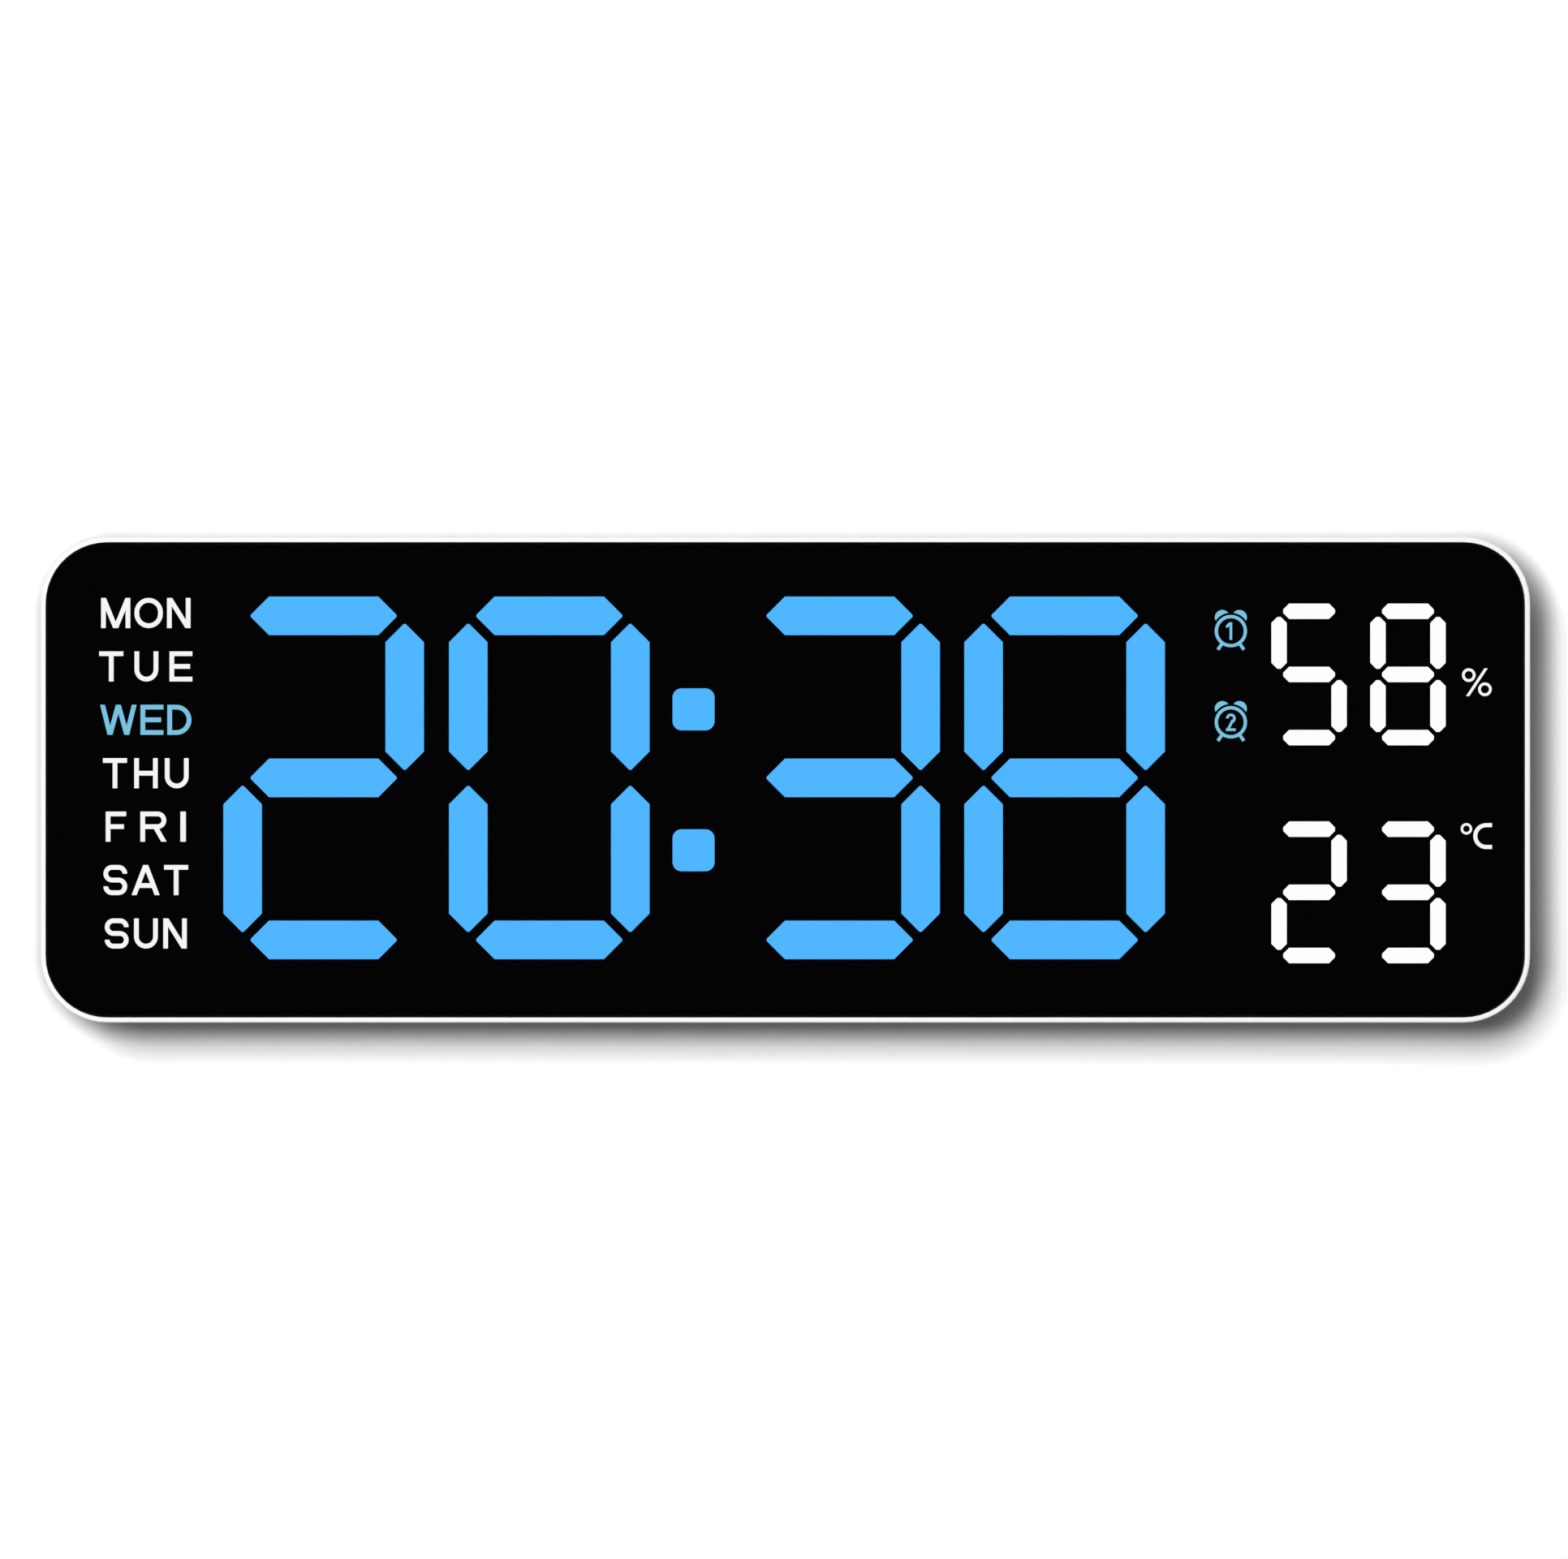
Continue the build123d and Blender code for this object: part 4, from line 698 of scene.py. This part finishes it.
# Door arrow: a raised sign that points down to the latch
doorArrow = {
    "wide": 7.0 * mm, "tall": 4.0 * mm, "above": 11.5 * mm, "corner": 0.5 * mm, "rise": 0.12 * mm,
    "root": 0.3 * mm, "cornerSteps": 7, "edgeSteps": 4,
}


def makeDoorArrow(shape):
    low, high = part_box("battery_door")
    middle, foot = (low.x + high.x) / 2, low.z + shape["above"]
    corners = [(middle, foot), (middle + shape["wide"] / 2, foot + shape["tall"]),
               (middle - shape["wide"] / 2, foot + shape["tall"])]
    section = easedSection(0.0, shape["rise"] + shape["root"], shape["rise"], shape["edgeSteps"])
    section[:, 1] = high.y + shape["rise"] - section[:, 1]
    arrow = platePiece("doorArrow", corners, shape["corner"], shape["cornerSteps"], section[::-1],
                       finishes["door_shell"])
    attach(arrow, "door")


makeDoorArrow(doorArrow)
print("new pieces: lens plate, its border and the door arrow")


# Stage: a white wall behind the clock, seen only from its front, and a pale floor below
stageSet = {
    "wallGap": 0.2 * mm, "reach": 4.0, "frontReach": 1.8, "floor": -0.25,
    "wallTone": 0.86, "wallSeen": 0.99, "floorTone": 0.3, "floorSeen": 1.25, "mirrored": 0.7,
    "wallFade": (0.19, 0.42), "floorFade": (0.35, 0.9),
}
# Painted shadow on the wall: a soft band round the clock's outline, shifted right and down, painted darker
paintedShadowBand = {
    "Middle X": 1.3 * mm, "Middle Z": -0.7 * mm, "Half X": 117.4 * mm, "Half Z": 37.3 * mm,
    "Corner": 10.5 * mm, "Full": 0.0, "Gone": 4.5 * mm,
}
# How dark the painted shadow is where it is darkest
paintedShadowDepth = 0.6


def makeSheet(name, corners, finish):
    mesh = bpy.data.meshes.new(name)
    mesh.from_pydata(corners, [], [(0, 1, 2, 3)])
    mesh.materials.append(finish)
    sheet = addObject(name, mesh)
    return sheet


def reflectedRays(tree, rays):
    return calc(tree, "MAXIMUM", rays["Is Glossy Ray"], rays["Is Transmission Ray"])


# Paler to the camera than to the light, so that it reads as white and keeps its shadow;
# it fades out far from the clock, so that no horizon shows. The wall is seen only from its front,
# and carries a painted shadow close round the clock, darker than the lamps' own shadow makes it
def stageFinish(name, tone, seen, mirrored, fade, isWall):
    made, tree, shader = newMaterial(name)
    tree.nodes.remove(shader)
    rays = addNode(tree, "LightPath").outputs
    level = calc(tree, "MULTIPLY_ADD", reflectedRays(tree, rays), mirrored - tone, tone)
    level = calc(tree, "MAXIMUM", level, calc(tree, "MULTIPLY", rays["Is Camera Ray"], seen))
    if isWall:
        # Painted shadow: the wall's level is darkened in the band round the clock
        shade = calc(tree, "MULTIPLY", useGroup(tree, outlineBand, paintedShadowBand)["Mask"], paintedShadowDepth)
        level = calc(tree, "MULTIPLY", level, calc(tree, "SUBTRACT", 1.0, shade))
    colour = addNode(tree, "CombineColor", {0: level, 1: level, 2: level}).outputs[0]
    surface = addNode(tree, "BsdfDiffuse", {"Color": colour}).outputs[0]
    length = addNode(tree, "VectorMath", {0: coords(tree)}, operation="LENGTH").outputs["Value"]
    gone = ramp(tree, length, *fade)
    if isWall:
        gone = calc(tree, "MAXIMUM", gone, addNode(tree, "NewGeometry").outputs["Backfacing"])
    clear = addNode(tree, "BsdfTransparent").outputs[0]
    mix = addNode(tree, "MixShader", {0: gone, 1: surface, 2: clear})
    feed(tree, tree.nodes["Material Output"].inputs["Surface"], mix.outputs[0])
    return made


def makeStage(shape):
    far, low, wallY = shape["reach"], shape["floor"], cadBox[1].y + shape["wallGap"]
    wall = makeSheet("wall", [(-far, wallY, low), (far, wallY, low), (far, wallY, far), (-far, wallY, far)],
                     stageFinish("wallWhite", shape["wallTone"], shape["wallSeen"], shape["mirrored"],
                                 shape["wallFade"], True))
    wall.visible_shadow = False
    wall.visible_diffuse = False
    wall.visible_glossy = False
    wall.visible_transmission = False
    near = -shape["frontReach"]
    makeSheet("floor", [(-far, near, low), (far, near, low), (far, far, low), (-far, far, low)],
              stageFinish("floorPale", shape["floorTone"], shape["floorSeen"], shape["mirrored"],
                          shape["floorFade"], False))


makeStage(stageSet)


# Light: a key close to the camera's axis, and soft lamps for the sides, top and back from behind the wall
lamps = {
    "key": {"at": (-0.32, -1.75, 0.29), "size": 0.45, "power": 31.5, "mirrored": False},
    "backTop": {"at": (0.15, 0.8, 1.3), "size": 1.0, "power": 4.5, "mirrored": True},
    "backLeft": {"at": (-1.3, 0.75, 0.45), "size": 0.8, "power": 5.0, "mirrored": True},
    "backRight": {"at": (1.3, 0.6, 0.35), "size": 0.8, "power": 7.0, "mirrored": True},
    "rear": {"at": (0.0, 1.8, 0.25), "size": 0.8, "power": 8.0, "mirrored": True},
}


def makeLamp(name, lamp):
    data = bpy.data.lights.new(name, "AREA")
    data.shape = "SQUARE"
    data.size = lamp["size"]
    data.energy = lamp["power"]
    made = addObject(name, data)
    made.location = lamp["at"]
    made.rotation_euler = (-Vector(lamp["at"])).to_track_quat("-Z", "Y").to_euler()
    made.visible_camera = False
    made.visible_glossy = lamp["mirrored"]


for name, lamp in lamps.items():
    makeLamp(name, lamp)


# Surroundings: white to the eye and in reflections, a dark card behind the camera, and a low fill,
# weaker from the front so that the wall keeps the shadow
surroundings = {
    "frontFill": 0.1, "backFill": 0.32, "fillTurn": (-0.1, 0.3), "seen": 1.0, "mirrored": 0.8,
    "cardInner": 0.93, "cardOuter": 0.75,
}


def makeSurroundings(look):
    world = bpy.data.worlds.new("studio")
    bpy.context.scene.world = world
    world.use_nodes = True
    tree = world.node_tree
    rays = addNode(tree, "LightPath").outputs
    facing = axesOf(tree, coords(tree, "Generated"))[1]
    besideCard = ramp(tree, calc(tree, "MULTIPLY", facing, -1.0), look["cardInner"], look["cardOuter"])
    turned = ramp(tree, facing, *look["fillTurn"])
    strengths = (
        calc(tree, "MULTIPLY_ADD", turned, look["backFill"] - look["frontFill"], look["frontFill"]),
        calc(tree, "MULTIPLY", besideCard, look["mirrored"]),
        look["seen"],
    )
    fill, mirrored, seen = [
        addNode(tree, "Background", {"Color": (1, 1, 1, 1), "Strength": strength}).outputs[0]
        for strength in strengths
    ]
    unseen = addNode(tree, "MixShader", {0: reflectedRays(tree, rays), 1: fill, 2: mirrored}).outputs[0]
    whole = addNode(tree, "MixShader", {0: rays["Is Camera Ray"], 1: unseen, 2: seen}).outputs[0]
    feed(tree, tree.nodes["World Output"].inputs["Surface"], whole)
    tree.nodes.remove(tree.nodes["Background"])


makeSurroundings(surroundings)
print("stage: wall, floor,", len(lamps), "lamps and surroundings")
